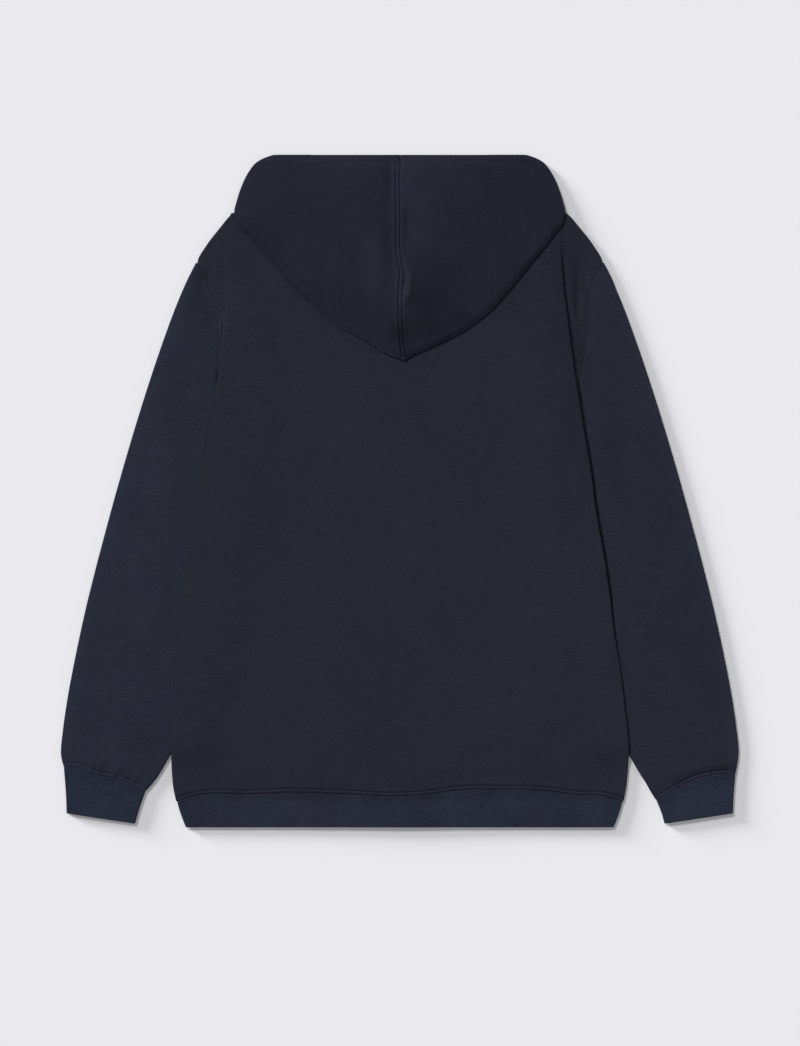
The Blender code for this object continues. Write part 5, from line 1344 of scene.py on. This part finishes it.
    # passage over the shoulder, the pouch's lower side, the side on the surface and the rim band
    lower = turn_ids[:, 0]
    lx, ly, lz = tx[:, 0], ty[:, 0], tz[:, 0]
    foot_from = notch - 2 * fine + 0  # the outline's point whose layer lies on the surface
    crest_at, end_at = notch - fine, notch
    between = fine
    north = np.array((20.3, 94.0)) / math.hypot(20.3, 94.0)
    span = 4 * fine
    m = np.linspace(4, 0, span + 1)
    shoulder_x = NECK_HALF + (186.0 - NECK_HALF) * m / 4
    shoulder_y = shoulder_line(shoulder_x)
    inner_x = glide(np.arange(len(top["inner_x"]), dtype=float), top["inner_x"], 7 - (4 - m))
    inner_y = glide(np.arange(len(top["inner_y"]), dtype=float), top["inner_y"], 7 - (4 - m))
    foot_p = (inner_x, inner_y, FLOOR + lift_at(inner_x, inner_y))
    crest_x, crest_y = shoulder_x + north[0] * 2.6, shoulder_y + north[1] * 2.6
    crest_p = (crest_x, crest_y, hood_lower(sign * crest_x, np.full(len(m), 305.0)))
    ends_x, ends_y = shoulder_x - north[0] * 4.0, shoulder_y - north[1] * 4.0
    ends_p = (ends_x, ends_y, hood_lower(sign * ends_x, np.full(len(m), 305.0)))
    # columns of the passage: from the pouch's lower side over the shoulder, down to the surface
    cols = []
    over = np.linspace(0, 1, 2 * between + 1)
    for i in range(span + 1):
        if i == 0:
            cols.append(lower[end_at : foot_from - 1 : -1] if foot_from > 0 else lower[end_at::-1])
            continue
        pe, pc, pf = [np.array([p[j][i] for j in range(3)]) for p in (ends_p, crest_p, foot_p)]
        first_half = pe + (pc - pe) * (over[: between + 1] * 2)[:, None]
        w = smooth(0, 1, np.linspace(0, 1, between + 1))
        second = pc + (pf - pc) * np.linspace(0, 1, between + 1)[:, None]
        second[:, 2] = pc[2] + (pf[2] - pc[2]) * w
        line = np.concatenate([first_half, second[1:]])
        cols.append(sheet.add(line[:, 0], line[:, 1], line[:, 2]))
    block = np.stack(cols)
    if block.shape[1] != 2 * between + 1:
        raise ValueError("the passage's columns don't match")
    sheet.grid(block.T)
    ends = list(block[:, 0])
    foot = list(block[:, -1])
    # back neckline, from the neck point to the centre
    for q in np.linspace(0, 1, 4 * fine + 1)[1:]:
        xx = NECK_HALF * (1 - q)
        yy = float(back_neck(xx)) - 4.0
        last = q == 1.0
        if last:
            xx = float(under_x(yy))
        ends.append(int(sheet.add([xx], [yy], [float(hood_lower(sign * xx, yy))], last)[0]))
    # pouch lower side: from the fold to the neckline
    pouch = range(notch, count)
    ends_at = np.linspace(0, len(ends) - 1, len(pouch)).round().astype(int)
    store = np.concatenate(sheet.points)
    inner_steps = np.linspace(0, 1, 22)[1:-1]
    lines = []
    for i, k in enumerate(pouch):
        p_id, q_id = lower[k], ends[ends_at[i]]
        p, q = store[p_id], store[q_id] if q_id < len(store) else np.concatenate(sheet.points)[q_id]
        if i == 0 or p_id == q_id:
            lines.append([p_id] + [p_id] * len(inner_steps) + [q_id] if p_id == q_id else None)
            if lines[-1] is not None:
                continue
            lines.pop()
        xx, yy = p[0] + (q[0] - p[0]) * inner_steps, p[1] + (q[1] - p[1]) * inner_steps
        last = k == count - 1
        if last:
            xx = under_x(yy)
        zz = hood_lower(sign * xx, yy)
        lines.append([p_id] + list(sheet.add(xx, yy, zz, last)) + [q_id])
    # every neckline point has to be used, so the pouch ends in a strip that joins the two rows of points
    pouch_ids = np.array(lines)
    sheet.grid(pouch_ids[:, ::-1])
    # the side on the surface
    first = foot_from
    inner_marks = at[: first + 1]
    fx = glide(np.arange(len(top["inner_x"]), dtype=float), top["inner_x"], inner_marks)
    fy = glide(np.arange(len(top["inner_y"]), dtype=float), top["inner_y"], inner_marks)
    inner_ids = []
    foot_count = len(foot)
    for k in range(first + 1):
        back_step = first - k
        if back_step < foot_count:
            inner_ids.append(foot[back_step])
            continue
        xx, yy = fx[k], fy[k]
        if k == 0:
            xx = float(under_x(yy))
        inner_ids.append(int(sheet.add([xx], [yy], [FLOOR + float(lift_at(xx, yy))], k == 0)[0]))
    store = np.concatenate(sheet.points)
    lines = []
    floor_steps = np.linspace(0, 1, 12)[1:-1]
    for k in range(first + 1):
        p_id, q_id = lower[k], inner_ids[k]
        if p_id == q_id:
            lines.append([p_id] * (len(floor_steps) + 2))
            continue
        p, q = store[p_id], store[q_id]
        xx, yy = p[0] + (q[0] - p[0]) * floor_steps, p[1] + (q[1] - p[1]) * floor_steps
        if k == 0:
            xx = under_x(yy)
        zz = p[2] + (q[2] - p[2]) * floor_steps
        lines.append([q_id] + list(sheet.add(xx, yy, zz, k == 0)[::-1]) + [p_id])
    sheet.grid(np.array(lines))
    # the rim band, from the top of the opening to the top of the zip
    outer = inner_ids[: 3 * fine + 1]
    neck_marks = np.linspace(0, 4, 4 * fine + 1)[1:]
    neck_x = glide(np.arange(5, dtype=float), (93.7 - 1.7,) + HOOD_NECK_X, neck_marks)
    for xx in neck_x:
        yy = float(front_neck(xx)) + 0.9
        outer.append(int(sheet.add([xx - 0.5], [yy], [FLOOR + float(lift_at(xx, yy))])[0]))
    rim_marks = np.linspace(0, len(rim_x) - 1, len(outer))
    rx, ry = glide(np.arange(len(rim_x), dtype=float), rim_x, rim_marks), glide(np.arange(len(rim_y), dtype=float), rim_y, rim_marks)
    store = np.concatenate(sheet.points)
    band_steps = np.concatenate([np.linspace(0, 0.12, 4), np.linspace(0.12, 0.8, 8)[1:], np.linspace(0.8, 0.95, 6)[1:]])
    lines = []
    for k in range(len(outer)):
        xx, yy = rx[k], ry[k]
        if k == 0:
            xx = float(under_x(yy))
        q = store[outer[k]]
        px_, py_ = xx + (q[0] - xx) * band_steps, yy + (q[1] - yy) * band_steps
        if k == 0:
            px_ = under_x(py_)
        pz = FLOOR + lift_at(px_, py_)
        width = math.hypot(q[0] - xx, q[1] - yy)
        inward = band_steps * width
        pz = pz + 0.35 * np.exp(-(((inward - 20.0) / 0.9) ** 2)) * (width > 24)
        lines.append(list(sheet.add(px_, py_, pz, k == 0)) + [outer[k]])
    sheet.grid(np.array(lines))
    everything = np.concatenate(sheet.points)
    everything[:, 0] *= sign
    sheet.points = [everything]
    made["hood_" + side] = sheet.shell("hood_panel_" + side, fleece_hood, flip=sign > 0)


stitch_lines = []
build_back()
for which in SIDES:
    build_front(which)
    build_sleeve(which)
    build_hood(which)
build_hem()


# --- stitches -----------------------------------------------------------------------------------------------------
def stitch_mesh(name, runs, material, pitch=2.9, length=2.0, radius=0.2):
    """Short threads that lie along each run of points, joined into one mesh."""
    sides, points, faces = 6, [], []
    profile = ((0.0, 0.15), (0.12, 0.8), (0.5, 1.0), (0.88, 0.8), (1.0, 0.15))
    for run in runs:
        run = np.asarray(run, float)
        step = np.linalg.norm(np.diff(run, axis=0), axis=1)
        reach = np.concatenate([[0], np.cumsum(step)])
        starts = np.arange(pitch * 0.3, reach[-1] - length, pitch)
        for s0 in starts:
            ends = [np.array([np.interp(s, reach, run[:, j]) for j in range(3)]) for s in (s0, s0 + length)]
            along = ends[1] - ends[0]
            along /= np.linalg.norm(along)
            across = np.cross(along, (0.0, 0.0, 1.0))
            across /= np.linalg.norm(across)
            up = np.cross(across, along)
            base = len(points)
            for u, size in profile:
                mid = ends[0] + (ends[1] - ends[0]) * u + up * (0.16 * math.sin(math.pi * u) - 0.05)
                for j in range(sides):
                    w = math.tau * j / sides
                    points.append(mid + (across * math.cos(w) + up * math.sin(w)) * radius * size)
            for i in range(len(profile) - 1):
                for j in range(sides):
                    k = (j + 1) % sides
                    faces.append((base + i * sides + j, base + i * sides + k, base + (i + 1) * sides + k, base + (i + 1) * sides + j))
            last = base + (len(profile) - 1) * sides
            for j in range(1, sides - 1):
                faces.append((base, base + j + 1, base + j, base + j))
                faces.append((last, last + j, last + j + 1, last + j + 1))
    return mesh_object(name, np.array(points), np.array(faces), material)


stitches = []


def finish_piece(name, node):
    obj = made[name]
    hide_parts(node)
    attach(obj, "garment")


# stitches along the hem: on the back panel, in the trough beside the seam
hem_x = np.linspace(-246.0, 246.0, 420)
hem_y = hem_at(hem_x) + GAP / 2 + TOPSTITCH
hem_z = back_height(hem_x, hem_y) + back_relief(hem_x, hem_y) + seam_profile(np.full(hem_x.shape, TOPSTITCH)) + CLOTH / 2
stitches.append(("stitches_hem", [np.stack([hem_x, hem_y, hem_z + 0.12], 1)], "garment"))

runs = []
for name, x, y, z, d, top, sign in stitch_lines:
    if name.startswith("cuff"):
        row = int(np.argmin(np.abs(d[:, (top[0] + top[1]) // 2] - TOPSTITCH)))
        cols = slice(top[0] + 2, top[1] - 2)
        runs.append(np.stack([sign * x[row, cols], y[row, cols], z[row, cols] + CLOTH / 2 + 0.12], 1))
stitches.append(("stitches_cuffs", runs, "garment"))

runs = []
for name, x, y, z, d, top, sign in stitch_lines:
    if name == "hood_left":
        line = []
        for k in range(2, len(x) - 2):
            order = np.argsort(d[k])
            line.append((sign * np.interp(HOOD_TOPSTITCH, d[k][order], x[k][order]), np.interp(HOOD_TOPSTITCH, d[k][order], y[k][order]), np.interp(HOOD_TOPSTITCH, d[k][order], z[k][order]) + CLOTH / 2 + 0.12))
        runs.append(line)
stitches.append(("stitches_hood", runs, "garment"))

# stitches that hold the zip, on the under side of the front panels
runs = []
for sign in (-1.0, 1.0):
    ys = np.linspace(ZIP_BOTTOM + 44.0, 240.0, 500)
    xs = np.full(ys.shape, sign * (FRONT_EDGE + 6.5))
    zs = FLOOR + lift_at(xs, ys) + 0.35 - CLOTH / 2 - 0.1
    runs.append(np.stack([xs, ys, zs], 1))
stitches.append(("stitches_zip", runs, "garment"))

stitch_objects = {}
for name, runs, body in stitches:
    obj = stitch_mesh(name, runs, thread)
    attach(obj, body)
    stitch_objects[name] = obj


# --- zip ----------------------------------------------------------------------------------------------------------
def tape_shell(side):
    sign = SIDES[side]
    ys = np.linspace(ZIP_BOTTOM + 0.4, ZIP_TOP - 1.0, 230)[:, None]
    t = np.linspace(0, 1, 12)[None, :]
    x = TAPE_INNER + (TAPE_OUTER - TAPE_INNER) * t + 0 * ys
    z = TAPE_MID + lift_at(x, ys) + 0.12 * np.exp(-(((t - 0.96) / 0.03) ** 2)) + 0 * x
    sheet = Sheet(TAPE_THICK, 0.15)
    sheet.grid(sheet.add(sign * x, ys + 0 * x, z))
    obj = sheet.shell("tape_" + side, tape_cloth, flip=sign < 0)
    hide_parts("zip_tape_" + side)
    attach(obj, "garment")
    return obj


def chain_teeth():
    """Closed teeth: two rows that mesh, each tooth a small block with a rounded head and its clamped foot."""
    points, faces = [], []
    pitch = 2.3
    outline = ((-0.55, 0.9), (-0.62, 0.35), (-0.45, -0.15), (-0.2, -0.35), (0.2, -0.35), (0.45, -0.15), (0.62, 0.35), (0.55, 0.9), (0.5, 2.9), (-0.5, 2.9))
    start, stop = ZIP_BOTTOM + 9.6, SLIDER_Y - 6.4
    count = int((stop - start) / pitch)
    for row, sign in ((0, -1.0), (1, 1.0)):
        for k in range(count):
            y0 = start + pitch * (k + 0.5 * row) + 0.4
            z0 = CHAIN_MID + float(lift_at(0.0, y0))
            base = len(points)
            n = len(outline)
            for level, inset in ((-0.95, 0.12), (-0.8, 0.0), (0.8, 0.0), (0.95, 0.12)):
                for oy, oxx in outline:
                    head = 1.0 if oxx < 2.0 else 0.86
                    points.append((sign * (oxx + (inset if oxx < 0 else -inset)), y0 + oy * (1 - inset * 0.5), z0 + level * head))
            for i in range(3):
                for j in range(n):
                    k2 = (j + 1) % n
                    q = (base + i * n + j, base + i * n + k2, base + (i + 1) * n + k2, base + (i + 1) * n + j)
                    faces.append(q[::-1] if sign > 0 else q)
            for i, flip in ((0, sign < 0), (3, sign > 0)):
                ids = [base + i * n + j for j in range(n)]
                for j in range(1, n - 1):
                    tri = (ids[0], ids[j], ids[j + 1], ids[j + 1])
                    faces.append(tri if not flip else (ids[0], ids[j + 1], ids[j], ids[j]))
    obj = mesh_object("zip_teeth", np.array(points), np.array(faces), tooth, 35)
    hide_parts("zip_chain")
    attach(obj, "garment")
    return obj


tapes = [tape_shell(which) for which in SIDES]
chain_teeth()
for node in ("zip_box", "zip_stop_left", "zip_stop_right", "zip_slider", "zip_pull_tab"):
    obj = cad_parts[node]
    obj.data.materials.clear()
    obj.data.materials.append(metal)

# --- what each piece stands for -----------------------------------------------------------------------------------
for name, node, slot in (
    ("back", "back", "fleece"),
    ("front_left", "front_left", "fleece"),
    ("front_right", "front_right", "fleece"),
    ("sleeve_left", "sleeve_left", "fleece"),
    ("sleeve_right", "sleeve_right", "fleece"),
    ("cuff_left", "cuff_left", "rib"),
    ("cuff_right", "cuff_right", "rib"),
    ("hem_band", "hem_band", "rib"),
    ("hood_left", "hood_left", "fleece"),
    ("hood_right", "hood_right", "fleece"),
):
    finish_piece(name, node)

FLAT_COLUMNS = ("piece", "width", "length", "area", "held", "rests_on")

# --- floor, light and camera --------------------------------------------------------------------------------------
floor_mesh = bpy.data.meshes.new("floor")
floor_mesh.from_pydata([(-6, -6, 0), (6, -6, 0), (6, 6, 0), (-6, 6, 0)], [], [(0, 1, 2, 3)])
floor = bpy.data.objects.new("floor", floor_mesh)
floor.location.z = -0.0003
bpy.context.scene.collection.objects.link(floor)
paper = Nodes("floor_paper")
paper.shader.inputs["Base Color"].default_value = (0.583, 0.578, 0.607, 1.0)
paper.shader.inputs["Roughness"].default_value = 0.95
paper.shader.inputs["Specular IOR Level"].default_value = 0.1
floor_mesh.materials.append(paper.material)

world = bpy.data.worlds.new("studio")
world.use_nodes = True
world.node_tree.nodes["Background"].inputs["Color"].default_value = (1.0, 1.0, 1.0, 1.0)
world.node_tree.nodes["Background"].inputs["Strength"].default_value = 0.33
bpy.context.scene.world = world


def soft_light(name, azimuth, elevation, spread, share):
    """A far soft light that gives the floor this share of its light; azimuth is counted from +X towards +Y."""
    light = bpy.data.lights.new(name, "SUN")
    light.angle = math.radians(spread)
    light.energy = math.pi * share / math.sin(math.radians(elevation))
    obj = bpy.data.objects.new(name, light)
    obj.rotation_euler = (math.radians(90 - elevation), 0.0, math.radians(azimuth + 90))
    bpy.context.scene.collection.objects.link(obj)
    return obj


soft_light("key", 126.0, 43.0, 13.0, 0.45)
# two more lights are kept off the garment by flags: one evens out the floor, one draws the soft shadow on it
flagged = bpy.data.collections.new("floor_only")
flagged.objects.link(floor)
for light in (soft_light("floor_top", 90.0, 89.0, 4.0, 0.21), soft_light("floor_low", 147.0, 10.6, 14.0, 0.42)):
    light.light_linking.receiver_collection = flagged

LENS = 100.0
FRAME_HEIGHT = 1046 * PX * MM
camera_data = bpy.data.cameras.new("camera")
camera_data.type = "PERSP"
camera_data.lens = LENS
camera_data.sensor_width = 36.0
camera_data.sensor_fit = "AUTO"
camera_data.clip_end = 50.0
camera = bpy.data.objects.new("camera", camera_data)
camera.location = ((400.0 - PX_X) * PX * MM, (PX_Y - 523.0) * PX * MM, FRAME_HEIGHT * LENS / 36.0 + 0.006)
camera.rotation_euler = (0.0, 0.0, 0.0)
bpy.context.scene.collection.objects.link(camera)
bpy.context.scene.camera = camera
bpy.context.scene.view_settings.view_transform = "Standard"
bpy.context.scene.view_settings.look = "None"
